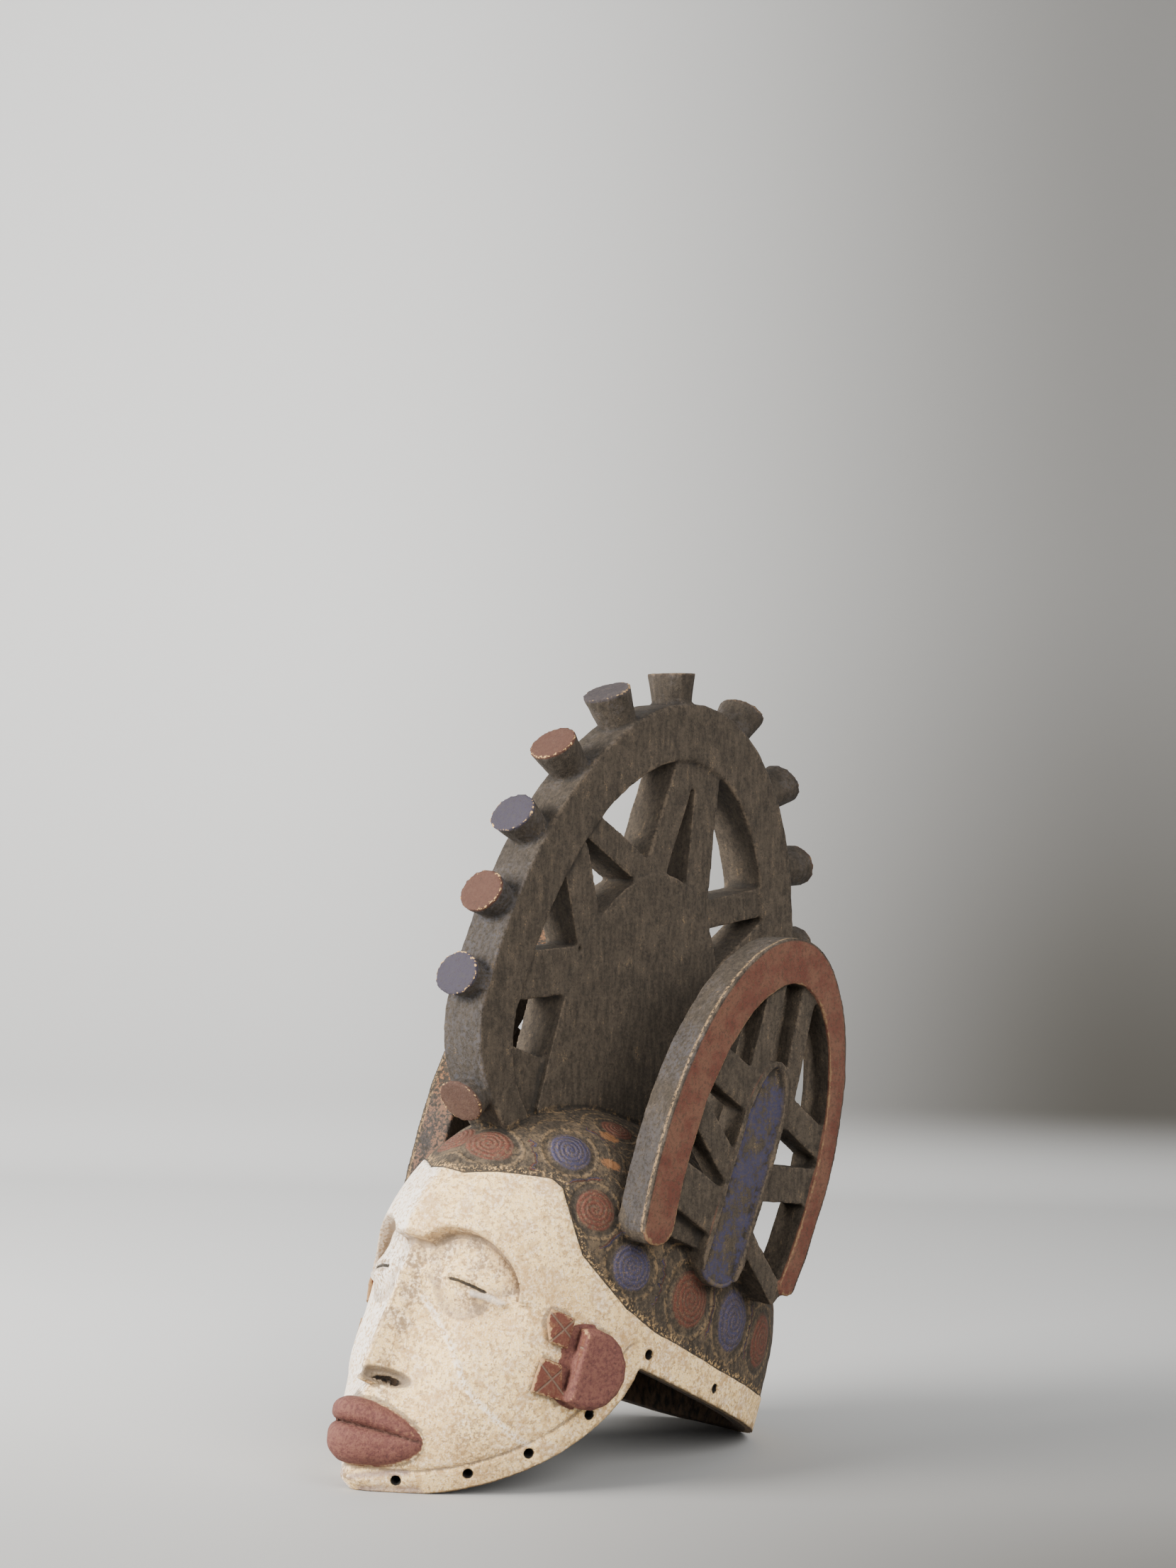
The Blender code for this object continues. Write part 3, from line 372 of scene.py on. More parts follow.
def line_distance(points, line):
    """Distance of flat points from a broken line."""
    best = np.full(len(points), 1e3)
    for start, end in zip(line, line[1:]):
        start, along = np.array(start), np.array(end) - np.array(start)
        share = np.clip((points - start) @ along / (along @ along), 0.0, 1.0)
        best = np.minimum(best, np.linalg.norm(points - start - share[:, None] * along, axis=1))
    return best


def hair_edge_distance(points):
    """Signed distance to the edge between white face and hair, above 0 on the white side, in metres."""
    x, back, height = points.T
    ahead = CENTRE_BACK - back
    reach = np.where(ahead >= 0.0, FRONT_REACH, REAR_REACH)
    turn = np.degrees(np.arctan2(np.abs(x) / HALF_WIDTH, ahead / reach))
    around = 0.112 * math.pi / 180.0
    edge = [(angle * around, level) for angle, level in HAIR_EDGE]
    level = np.interp(turn, [angle for angle, level in HAIR_EDGE], [level for angle, level in HAIR_EDGE])
    apart = line_distance(np.stack((turn * around, height), 1), edge)
    return np.where(height < level, apart, -apart)


def jaw_line():
    """The lower edge from chin to nape, as (back, height)."""
    backs = np.concatenate((JAW_BACK * np.sin(np.radians(np.arange(0.0, 90.1, 3.0))), [JAW_LINE_END]))
    return list(zip(backs, jaw_height(backs)))


def jaw_height(back):
    """Height of the lower edge at a distance behind the chin."""
    nape = CENTRE_BACK + REAR_REACH
    curve = JAW_RISE * (1.0 - fullness(back / JAW_BACK, JAW_ROUNDNESS))
    straight = JAW_RISE + (NAPE_HEIGHT - JAW_RISE) * (back - JAW_BACK) / (nape - JAW_BACK)
    return np.where(back < JAW_BACK, curve, straight)


def side_point(back, height):
    """Place on the left side of the plain head."""
    front, rear, wide = head_reaches(np.array(height))
    ahead = CENTRE_BACK - back
    reach, square = (front, FACE_SQUARENESS) if ahead >= 0.0 else (rear, NAPE_SQUARENESS)
    return np.array((float(wide * fullness(ahead / reach, square)), back, height))


def hole_distance(points):
    """Distance from the axis of the nearest lacing hole."""
    step = 0.002
    best = np.full(len(points), 1.0)
    mirrored = np.stack((np.abs(points[:, 0]), points[:, 1], points[:, 2]), 1)
    for back in RIM_HOLE_BACKS:
        edge = np.array((back, float(jaw_height(back))))
        along = np.array((back + step, float(jaw_height(back + step)))) - edge
        along /= np.linalg.norm(along)
        at_back, at_height = edge + np.array((-along[1], along[0])) * RIM_HOLE_INSET
        spot = side_point(at_back, at_height)
        behind, above = side_point(at_back + step, at_height), side_point(at_back, at_height + step)
        out = np.cross(behind - spot, above - spot)
        out /= np.linalg.norm(out)
        offset = mirrored - spot
        depth = offset @ out
        aside = np.linalg.norm(offset - depth[:, None] * out, axis=1)
        best = np.where(np.abs(depth) < 0.03, np.minimum(best, aside), best)
    return best


def arch_inset(back, height, centre, sizes):
    """Distance inside a flattened arch's outer edge, below 0 outside it."""
    half_width, rise, drop = sizes
    along = (back - centre[0]) / half_width
    up = (height - centre[1]) / np.where(height >= centre[1], rise, drop)
    level = np.maximum(np.hypot(along, up), 1e-3)
    length = np.hypot(back - centre[0], height - centre[1])
    flat = np.hypot(along / half_width, up / np.where(height >= centre[1], rise, drop)) / level
    return np.minimum((1.0 - level) / np.maximum(flat, 1e-3), length + 0.1)


def side_crest_place(points):
    """Back and height in the side crest's own upright position."""
    along, up = points[:, 1] - SIDE_CREST_CENTRE[0], points[:, 2] - SIDE_CREST_CENTRE[1]
    c, s = math.cos(SIDE_CREST_TILT), math.sin(SIDE_CREST_TILT)
    return SIDE_CREST_CENTRE[0] + along * c - up * s, SIDE_CREST_CENTRE[1] + along * s + up * c


def arch_point(degrees, side):
    turn = math.radians(degrees)
    tall = CREST_OUTER[1] if math.cos(turn) >= 0.0 else CREST_OUTER[2]
    return Vector((CREST_CENTRE[0] + side * CREST_OUTER[0] * math.sin(turn),
                   CREST_CENTRE[1] + tall * math.cos(turn)))


def knob_places():
    """Each knob's foot on the arch, its outward direction, height, paint share and colour name."""
    places = []
    for side, paints in ((-1.0, FRONT_KNOBS), (1.0, REAR_KNOBS)):
        for index, tall in enumerate(KNOB_HEIGHTS):
            distance = KNOB_FIRST + KNOB_SPACING * index
            if index == len(KNOB_HEIGHTS) - 1:
                distance += KNOB_LOWEST_EXTRA
            turn, walked, step = 0.0, 0.0, 0.25
            here = arch_point(turn, side)
            while walked < distance:
                turn += step
                after = arch_point(turn, side)
                walked += (after - here).length
                here = after
            along = (arch_point(turn + step, side) - arch_point(turn - step, side)).normalized()
            out = Vector((along.y, -along.x)) * -side
            share, colour = paints[len(KNOB_HEIGHTS) - 1 - index]
            places.append((np.array(here), np.array(out), tall, share, colour))
    return places


def averaged(values, pairs, rounds):
    """Values averaged over neighbouring points, round after round."""
    count = len(values)
    first, second = pairs[:, 0], pairs[:, 1]
    neighbours = np.maximum(np.bincount(first, minlength=count) + np.bincount(second, minlength=count), 1)
    for index in range(rounds):
        total = np.empty_like(values)
        for axis in range(values.shape[1]):
            column = values[:, axis]
            total[:, axis] = (np.bincount(first, column[second], count)
                              + np.bincount(second, column[first], count))
        values = total / neighbours[:, None]
    return values


def mesh_points(mesh):
    flat = np.empty(len(mesh.vertices) * 3)
    mesh.vertices.foreach_get("co", flat)
    return flat.reshape(-1, 3)


def mesh_normals(mesh):
    flat = np.empty(len(mesh.vertices) * 3)
    mesh.vertex_normals.foreach_get("vector", flat)
    return flat.reshape(-1, 3)


def mesh_pairs(mesh):
    flat = np.empty(len(mesh.edges) * 2, dtype=np.int64)
    mesh.edges.foreach_get("vertices", flat)
    return flat.reshape(-1, 2)


def set_points(mesh, points):
    mesh.vertices.foreach_set("co", points.ravel())
    mesh.update()


def rough(points, size, seed):
    """Soft noise from -1 to 1 with lumps of a size in metres."""
    scaled = points / size + seed * 7.31
    return np.array([noise.noise(Vector(spot)) for spot in scaled])


def with_modifier(piece, kind, **settings):
    """Give a piece a modifier and keep its result."""
    modifier = piece.modifiers.new(kind.lower(), kind)
    for key, value in settings.items():
        setattr(modifier, key, value)
    graph = bpy.context.evaluated_depsgraph_get()
    mesh = bpy.data.meshes.new_from_object(piece.evaluated_get(graph))
    piece.modifiers.clear()
    old = piece.data
    piece.data = mesh
    bpy.data.meshes.remove(old)
    return mesh


def spiral_places(points):
    """For each point its nearest spiral: place across and up it, reach as a share, red share."""
    x, back, height = points.T
    best = np.full(len(points), 1e3)
    found = np.zeros((len(points), 3))
    for place, size, turn, red in SPIRALS:
        spot = np.array(place)
        out = spot - np.array((0.0, CENTRE_BACK, min(spot[2], WIDEST_HEIGHT)))
        out /= np.array((HALF_WIDTH, 0.16, 0.128)) ** 2
        out /= np.linalg.norm(out)
        across = np.cross((0.0, 0.0, 1.0), out)
        across /= np.linalg.norm(across)
        up = np.cross(out, across)
        offset = np.stack((np.abs(x), back, height), 1) - spot
        angle = math.radians(turn)
        u = (offset @ across) * math.cos(angle) + (offset @ up) * math.sin(angle)
        v = (offset @ up) * math.cos(angle) - (offset @ across) * math.sin(angle)
        depth = np.abs(offset @ out)
        reach = np.hypot(u / size[0], v / size[1]) + 4.0 * np.maximum(depth / size[0] - 1.0, 0.0)
        nearer = reach < best
        best = np.where(nearer, reach, best)
        values = np.stack((u / size[0], v / size[1], np.full_like(u, red)), 1)
        found = np.where(nearer[:, None], values, found)
    return found, best


def relief(points, head, sizes):
    """Low carving on head and crests, as an offset along the normals in metres."""
    x, back, height = points.T
    rise, foot = rise_over_head(points)
    white = hair_edge_distance(points)
    hair = head * smooth(white, 0.0006, -0.0010)
    coils, reach = spiral_places(points)
    jaw = line_distance(points[:, 1:], jaw_line())
    cheek = line_distance(np.stack((np.abs(x), height), 1), CHEEK_LINE)
    lump = rough(points, 0.022, 1.0)
    chop = rough(points, 0.0075, 2.0)
    depth = -sizes.hair_sink * hair
    depth += hair * (sizes.coil_swell * smooth(reach, 1.0, 0.55) - 0.0008 * hump(reach - 1.18, 0.13))
    depth += hair * 0.0005 * chop
    depth += head * (1.0 - hair) * (0.00022 * lump + 0.00010 * chop)
    on_jaw = head * smooth(back, JAW_BACK + 0.01, JAW_BACK - 0.02)
    depth -= on_jaw * 0.0013 * hump(jaw - 0.0165, 0.0016)
    in_front = head * (back < 0.07)
    depth += in_front * (0.0005 * hump(cheek, 0.0018) - 0.0004 * hump(cheek - 0.0034, 0.0018))
    face = np.stack((np.abs(x), height), 1)
    slit = line_distance(face, EYE_SLIT)
    lid = line_distance(face, EYE_LID)
    depth -= in_front * (0.0030 * hump(slit, 0.0013) - 0.0018 * hump(lid, 0.0022) * (1.0 + 0.6 * chop))
    depth -= in_front * 0.0012 * hump(socket_reach(x, height) - 0.90, 0.05) * smooth(height, 0.142, 0.152)
    depth -= in_front * 0.0030 * smooth(nose_underside(x, height), 1.0, 0.55)
    for groove in CHIN_GROOVES:
        depth -= in_front * 0.0010 * hump(line_distance(face, groove), 0.0016)
    nostril = np.hypot((np.abs(x) - NOSTRIL[0]) / 0.0050, (height - NOSTRIL[1]) / 0.0026)
    depth -= in_front * (back < -0.002) * 0.0032 * smooth(nostril, 1.2, 0.5)
    beyond = smooth(rise, 0.0035, 0.006)
    depth += beyond * (0.00055 * lump + 0.00028 * chop)
    crest_back, crest_height = side_crest_place(points)
    tongue = arch_inset(crest_back, crest_height, SIDE_TONGUE_CENTRE, SIDE_TONGUE_OUTER)
    on_tongue = smooth(np.abs(x), SIDE_TONGUE_FACE - 0.0022, SIDE_TONGUE_FACE - 0.0012) * (tongue > 0.0)
    off_ring = smooth(arch_inset(crest_back, crest_height, SIDE_CREST_CENTRE, SIDE_CREST_OUTER), 0.030, 0.034)
    depth -= on_tongue * off_ring * 0.0028 * smooth(tongue, 0.0042, 0.0056)
    return depth


def knob_marks(points):
    """Height over each knob's top, and how much red and blue that top keeps."""
    up = np.full(len(points), -0.05)
    red = np.zeros(len(points))
    blue = np.zeros(len(points))
    flat = points[:, 1:]
    for spot, out, tall, share, colour in knob_places():
        along = (flat - spot) @ out
        aside = np.linalg.norm(flat - spot - along[:, None] * out, axis=1)
        near = (aside < KNOB_REACH) & (along > 0.0) & (along < 0.04) & (np.abs(points[:, 0]) < KNOB_REACH)
        up = np.where(near, np.maximum(up, along - tall), up)
        red = np.where(near, share * (colour == "red"), red)
        blue = np.where(near, share * (colour == "blue"), blue)
    return up, red, blue


def surface_marks(points, normals):
    """Everything the paint reads from the surface, by attribute name, in millimetres or shares."""
    x, back, height = points.T
    side = np.abs(x)
    rise, foot = rise_over_head(points)
    in_front = front_share(points)
    gap = face_back(x, height) - back
    rise = np.where(in_front > 0.5, gap, rise)
    coils, reach = spiral_places(points)
    above, below, taper = lip_shares(x, height)
    edge = np.minimum((1.0 - above) * UPPER_LIP_HEIGHT * taper, (1.0 - below) * LOWER_LIP_HEIGHT * taper)
    lips = np.minimum(edge, (MOUTH_HALF_WIDTH - side) * 1.5)
    lips = np.where((back < 0.05) & (height < 0.075) & (gap > -0.006), lips, -0.02)
    flat = points[:, 1:]
    ear = np.linalg.norm(flat - np.array(EAR_PLACE), axis=1)
    by_ear = np.minimum(smooth(back, 0.064, 0.068), smooth(back, 0.086, 0.082)) * 0.0045
    ear = np.where(side > 0.05, np.minimum(EAR_REACH - ear - 0.0015, rise - 0.0018 + by_ear), -0.02)
    scar_u, scar_v = np.full(len(points), 1.0), np.full(len(points), 1.0)
    scar_gap = np.full(len(points), 1.0)
    for place in SCAR_PLACES:
        offset = flat - np.array(place)
        gap_here = np.linalg.norm(offset, axis=1)
        nearer = gap_here < scar_gap
        scar_u = np.where(nearer, offset[:, 0], scar_u)
        scar_v = np.where(nearer, offset[:, 1], scar_v)
        scar_gap = np.where(nearer, gap_here, scar_gap)
    scar = np.where((side > 0.05) & (back < 0.0712), np.minimum(SCAR_REACH - scar_gap, rise - 0.0008), -0.02)
    crest_back, crest_height = side_crest_place(points)
    ring = arch_inset(crest_back, crest_height, SIDE_CREST_CENTRE, SIDE_CREST_OUTER)
    tongue = arch_inset(crest_back, crest_height, SIDE_TONGUE_CENTRE, SIDE_TONGUE_OUTER)
    on_side = side > 0.070
    tongue = np.where(on_side & (side > SIDE_TONGUE_FACE - 0.0055) & (ring > 0.028), tongue, -0.02)
    middle = arch_inset(back, height, CREST_CENTRE, CREST_OUTER)
    rim = np.where((side < CREST_HALF_THICKNESS + 0.002) & (height > 0.25), 0.0016 - middle, -0.02)
    rim = np.where(on_side & (rise > 0.004), 0.0018 - ring, rim)
    knob_up, knob_red, knob_blue = knob_marks(points)
    orange = np.full(len(points), -1.0)
    for place, size in ORANGE_MARKS:
        offset = np.stack((side, back, height), 1) - np.array(place)
        orange = np.maximum(orange, 1.0 - np.hypot(offset[:, 1] / size[0], offset[:, 2] / size[1]))
    jaw = line_distance(flat, jaw_line())
    face = np.stack((side, height), 1)
    cheek = line_distance(face, CHEEK_LINE)
    front = (back < 0.075) & (side < 0.080) & (rise < 0.006)
    chin = np.minimum(line_distance(face, CHIN_GROOVES[0]), line_distance(face, CHIN_GROOVES[1]))
    low_stain = np.hypot((side - LOW_STAIN[0]) / LOW_STAIN_SIZE[0],
                         (height - LOW_STAIN[1]) / LOW_STAIN_SIZE[1])
    under_nose = nose_underside(x, height)
    nostril = np.hypot((side - NOSTRIL[0]) / 0.0045, (height - NOSTRIL[1]) / 0.0026)
    brow = socket_reach(x, height) + 0.4 * smooth(height, 0.146, 0.132)
    walk = np.degrees(np.arctan2((back - CREST_CENTRE[0]) / CREST_OUTER[0],
                                 (height - CREST_CENTRE[1]) / CREST_OUTER[1]))
    return {
        "white_side": np.where(rise < 0.004, hair_edge_distance(points), -0.02) / MM,
        "over_head": rise / MM,
        "coil_u": coils[:, 0], "coil_v": coils[:, 1], "coil_red": coils[:, 2],
        "lips": lips / MM, "mouth_line": (height - MOUTH_HEIGHT) / MM,
        "ear": ear / MM, "scar": scar / MM, "scar_u": scar_u / MM, "scar_v": scar_v / MM,
        "crest_face": np.where(rise > 0.002, side - SIDE_CREST_FACE + 0.0019, -0.02) / MM,
        "crest_ring": ring / MM, "tongue": tongue / MM, "crest_rim": rim / MM,
        "knob_up": (knob_up + 0.0022) / MM, "knob_red": knob_red, "knob_blue": knob_blue,
        "orange": orange, "jaw": jaw / MM, "hole": hole_distance(points) / MM,
        "cheek": np.where(front, cheek, 1.0) / MM,
        "slit": np.where(front, line_distance(face, EYE_SLIT), 1.0) / MM,
        "lid": np.where(front, line_distance(face, EYE_LID), 1.0) / MM,
        "nostril": np.where(front & (back < 0.010), nostril, 3.0),
        "chin": np.where(front, chin, 1.0) / MM, "brow": np.where(front, brow, 3.0),
        "low_stain": np.where(front, low_stain, 3.0),
        "under_nose": np.where(front & (back < 0.010), under_nose, 3.0), "arch_walk": walk,
        "down": -normals[:, 2], "back": back / MM, "height": height / MM, "side": x / MM,
    }


def store(mesh, name, values):
    attribute = mesh.attributes.new(name, "FLOAT", "POINT")
    attribute.data.foreach_set("value", np.asarray(values, dtype=np.float32))


def carve_mask(sizes):
    """The mask as one finely carved piece that keeps the solid's form."""
    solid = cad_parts["helmet_mask"]
    piece = bpy.data.objects.new("carved_mask", solid.data.copy())
    piece.data.materials.clear()
    bpy.context.scene.collection.objects.link(piece)
    mesh = with_modifier(piece, "REMESH", mode="VOXEL", voxel_size=sizes.grain, use_smooth_shade=True)
    points = to_mask(mesh_points(mesh))
    normals = turned(mesh_normals(mesh), LEAN)
    points, head = refine_head(points, normals)
    set_points(mesh, to_row(points))
    normals = turned(mesh_normals(mesh), LEAN)
    points = points + normals * relief(points, head, sizes)[:, None]
    set_points(mesh, to_row(points))
    pairs = mesh_pairs(mesh)
    normals = turned(mesh_normals(mesh), LEAN)
    near = averaged(points, pairs, 4)
    far = averaged(near, pairs, 26)
    fine_hollow = np.sum((near - points) * normals, axis=1) / MM
    wide_hollow = np.sum((far - points) * normals, axis=1) / MM
    tree = KDTree(len(points))
    for index, spot in enumerate(points):
        tree.insert(spot, index)
    tree.balance()
    triangles = sum(len(polygon.vertices) - 2 for polygon in mesh.polygons)
    mesh = with_modifier(piece, "DECIMATE", ratio=min(1.0, sizes.triangles / triangles))
    mesh.name = "carved_mask"
    points = to_mask(mesh_points(mesh))
    normals = turned(mesh_normals(mesh), LEAN)
    for name, values in surface_marks(points, normals).items():
        store(mesh, name, values)
    nearest = np.array([tree.find(spot)[1] for spot in points])
    store(mesh, "fine_hollow", fine_hollow[nearest])
    store(mesh, "wide_hollow", wide_hollow[nearest])
    mesh.shade_smooth()
    return piece


class Socket:
    """An output of a shader node that takes part in sums like a number."""

    def __init__(self, paint, output):
        self.paint = paint
        self.output = output

    def maths(self, operation, *values):
        return self.paint.node("ShaderNodeMath", {"operation": operation}, dict(enumerate(values)))

    def __add__(self, other):
        return self.maths("ADD", self, other)

    __radd__ = __add__

    def __sub__(self, other):
        return self.maths("SUBTRACT", self, other)

    def __rsub__(self, other):
        return self.maths("SUBTRACT", other, self)

    def __mul__(self, other):
        return self.maths("MULTIPLY", self, other)

    __rmul__ = __mul__

    def __truediv__(self, other):
        return self.maths("DIVIDE", self, other)

    def __pow__(self, other):
        return self.maths("POWER", self, other)

    def __neg__(self):
        return self.maths("MULTIPLY", self, -1.0)

    def __abs__(self):
        return self.maths("ABSOLUTE", self)

    def sine(self):
        return self.maths("SINE", self)

    def least(self, other):
        return self.maths("MINIMUM", self, other)

    def most(self, other):
        return self.maths("MAXIMUM", self, other)

    def angle_of(self, other):
        return self.maths("ARCTAN2", self, other)

    def step(self, start, end):
        """0 at start, 1 at end, eased between them; end may be below start."""
        return self.paint.node("ShaderNodeMapRange", {"interpolation_type": "SMOOTHSTEP"},
                               {"Value": self, "From Min": start, "From Max": end})


class Paint:
    """One material and the means to write its nodes."""

    def __init__(self, name):
        self.material = bpy.data.materials.new(name)
        self.material.use_nodes = True
        self.tree = self.material.node_tree
        self.shader = self.tree.nodes["Principled BSDF"]

    def node(self, kind, settings=None, values=None, output=0):
        """A node of a type, its settings first and then its sockets' values or links."""
        made = self.tree.nodes.new(kind)
        for key, value in (settings or {}).items():
            setattr(made, key, value)
        for key, value in (values or {}).items():
            self.feed(made.inputs[key], value)
        return Socket(self, made.outputs[output])

    def feed(self, socket, value):
        if isinstance(value, Socket):
            self.tree.links.new(value.output, socket)
        else:
            socket.default_value = value

    def mark(self, name):
        """What the carving stored on the surface under a name."""
        return self.node("ShaderNodeAttribute", {"attribute_name": name}, output="Fac")

    def place(self, stretch=(1.0, 1.0, 1.0)):
        """Position on the piece in millimetres."""
        spot = self.node("ShaderNodeTexCoord", output="Object")
        scale = tuple(share / MM for share in stretch)
        return self.node("ShaderNodeVectorMath", {"operation": "MULTIPLY"}, {0: spot, 1: scale})

    def noise(self, place, scale, detail=2.0, sharpness=0.5):
        return self.node("ShaderNodeTexNoise", values={"Vector": place, "Scale": scale, "Detail": detail,
                                                       "Roughness": sharpness})

    def mix(self, share, first, second, kind="MIX"):
        """Two colours, the second by a share."""
        made = self.tree.nodes.new("ShaderNodeMix")
        made.data_type = "RGBA"
        made.blend_type = kind
        self.feed(made.inputs[0], share)
        self.feed(made.inputs[6], first)
        self.feed(made.inputs[7], second)
        return Socket(self, made.outputs[2])


class Grain:
    """Noises, hollows and places that all the paints share."""

    def __init__(self, paint):
        self.place = paint.place()
        self.broad = paint.noise(self.place, 0.018, 3.0)
        self.patch = paint.noise(self.place, 0.075, 4.0, 0.6)
        self.speck = paint.noise(self.place, 0.42, 4.0, 0.65)
        self.grit = paint.noise(self.place, 0.95, 3.0, 0.65)
        self.streak = paint.noise(paint.place((1.0, 1.0, 0.22)), 0.30, 4.0, 0.6)
        self.fine = paint.mark("fine_hollow")
        self.wide = paint.mark("wide_hollow")
        self.wander = (self.patch - 0.5) * 3.0 + (self.speck - 0.5) * 2.4


def paint_white(paint, grain, colours):
    """Kaolin of face and rim, with painted light: cream for the shaded near side, white for the lit far side,
    dirt and painted shade in its hollows and lines, painted highlights on the eyelid and the cheek line.
    """
    place, broad, patch, speck, grit, fine, wide = (
        grain.place, grain.broad, grain.patch, grain.speck, grain.grit, grain.fine, grain.wide)
    # Painted light: the far side is drawn lit in white, the near side shaded in warm cream, with less tan
    # where it is lit.
    lit_far_side = (paint.mark("side") + (patch - 0.5) * 14.0).step(2.0, -6.0)
    white = paint.mix(patch.step(0.46, 0.64) * 0.40, colours["cream"], colours["white"])
    white = paint.mix(lit_far_side * 0.85, white, colours["white"])
    white = paint.mix(broad.step(0.52, 0.70) * 0.55, white, colours["clay"])
    white = paint.mix(speck.step(0.50, 0.60) * 0.75, white, colours["clay"])
    white = paint.mix((speck * 0.5 + grit * 0.5).step(0.53, 0.62) * 0.6, white, colours["stain"])
    white = paint.mix(grit.step(0.48, 0.36) * 0.5, white, colours["white"])
    mottle = (patch * 0.55 + speck * 0.45).step(0.48, 0.58) * (1.0 - lit_far_side * 0.8)
    white = paint.mix(mottle * 0.65, white, colours["tan"])
    flecks = paint.noise(place, 0.17, 3.0, 0.6).step(0.50, 0.64) * (1.0 - lit_far_side * 0.6)
    white = paint.mix(flecks * 0.55, white, colours["tan"])
    low_stain = paint.mark("low_stain").step(1.0, 0.35) * speck.step(0.40, 0.58)
    white = paint.mix(low_stain * 0.55, white, colours["ochre"])
    veins = abs(patch * 0.7 + speck * 0.3 - 0.5).step(0.030, 0.008)
    white = paint.mix(veins * speck.step(0.40, 0.62) * 0.35, white, colours["grime"])
    # Dirt and painted shade: the hollows of the white darkened toward grime.
    white = paint.mix((wide * 0.45 + fine * 3.0 + (speck - 0.5) * 1.2).step(0.35, 1.6) * 0.7,
                      white, colours["grime"])
    bare = (-fine * 3.0 + (speck - 0.5) * 2.4 + (patch - 0.5) * 1.2).step(0.9, 1.5)
    white = paint.mix(bare * 0.5, white, colours["ochre"])
    # Painted shade under the brow's arc, darkest toward the arc, and patchy darkening across the eye socket.
    brow = paint.mark("brow")
    in_socket = brow.step(1.03, 0.97)
    under_brow = in_socket * brow.step(0.55, 0.95)
    white = paint.mix(under_brow * (0.25 + 0.75 * speck), white, colours["stain"])
    socket_darkening = in_socket * (patch * 0.6 + speck * 0.4).step(0.50, 0.60)
    white = paint.mix(socket_darkening * 0.6, white, colours["grime"])
    # Painted highlight along the eyelid.
    eyelid_highlight = paint.mark("lid").step(3.0, 1.2)
    white = paint.mix(eyelid_highlight * 0.35, white, colours["white"])
    # Painted shade along the eye's carved slit, darkest inside it.
    slit = paint.mark("slit")
    white = paint.mix(slit.step(3.6, 1.4) * speck.step(0.40, 0.62) * 0.45, white, colours["grime"])
    white = paint.mix(slit.step(1.5, 0.7) * 0.92, white, colours["soot"])
    # Painted highlight along the raised cheek line.
    cheek_line_highlight = paint.mark("cheek").step(2.6, 0.6) * speck.step(0.62, 0.40)
    white = paint.mix(cheek_line_highlight * 0.6, white, colours["white"])
    # Painted shade under the nose and in the carved nostrils.
    nose_shade = (paint.mark("under_nose") + (speck - 0.5) * 0.35).step(1.15, 0.90)
    white = paint.mix(nose_shade * 0.85, white, colours["grime"])
    white = paint.mix(paint.mark("nostril").step(1.1, 0.6) * 0.9, white, colours["soot"])
    smudge = (paint.mark("chin") + (speck - 0.5) * 2.0).step(2.6, 0.4)
    white = paint.mix(smudge * 0.6, white, colours["smudge"])
    return white


def paint_dark(paint, grain, colours):
    """Old dark paint under everything that is not white."""
    patch, speck, grit, streak, fine, wide = (
        grain.patch, grain.speck, grain.grit, grain.streak, grain.fine, grain.wide)
    dark = paint.mix(streak.step(0.30, 0.72) * 0.6, colours["hair"], colours["hair_dust"])
    dark = paint.mix(patch.step(0.46, 0.66) * 0.45, dark, colours["hair_dust"])
    dark = paint.mix(speck.step(0.50, 0.70) * 0.55, dark, colours["hair_dust"])
    dark = paint.mix((grit * 0.5 + speck * 0.5).step(0.50, 0.38) * 0.55, dark, colours["soot"])
    # Dirt and painted shade: the hollows of the dark paint darkened toward soot.
    dark = paint.mix((wide * 0.35 + fine * 2.0).step(0.15, 1.4) * 0.7, dark, colours["soot"])
    worn = (-fine * 2.2 + (speck - 0.5) * 2.4 + (patch - 0.5) * 2.2).step(0.8, 1.7)
    dark = paint.mix(worn * 0.40, dark, colours["edge"])
    scratch = (streak * 0.5 + grit * 0.5).step(0.57, 0.66) * patch.step(0.44, 0.60)
    dark = paint.mix(scratch * 0.45, dark, colours["ochre"])
    return dark


def paint_rims(paint, grain, colours, dark):
    """Outer rims of the crests. Returns the colour and where the rims are."""
    patch, speck, wander = grain.patch, grain.speck, grain.wander
    rim = paint.mark("crest_rim")
    on_rim = (rim + wander * 0.25).step(-0.3, 0.5)
    dark = paint.mix(on_rim * 0.25, dark, colours["soot"])
    walk = paint.mark("arch_walk")
    low_front = walk.step(-60.0, -76.0) * walk.step(-112.0, -100.0)
    blue_rim = on_rim * (0.25 * patch.step(0.46, 0.62) + low_front * 0.35) * speck.step(0.40, 0.60)
    dark = paint.mix(blue_rim, dark, colours["slate"])
    return dark, on_rim


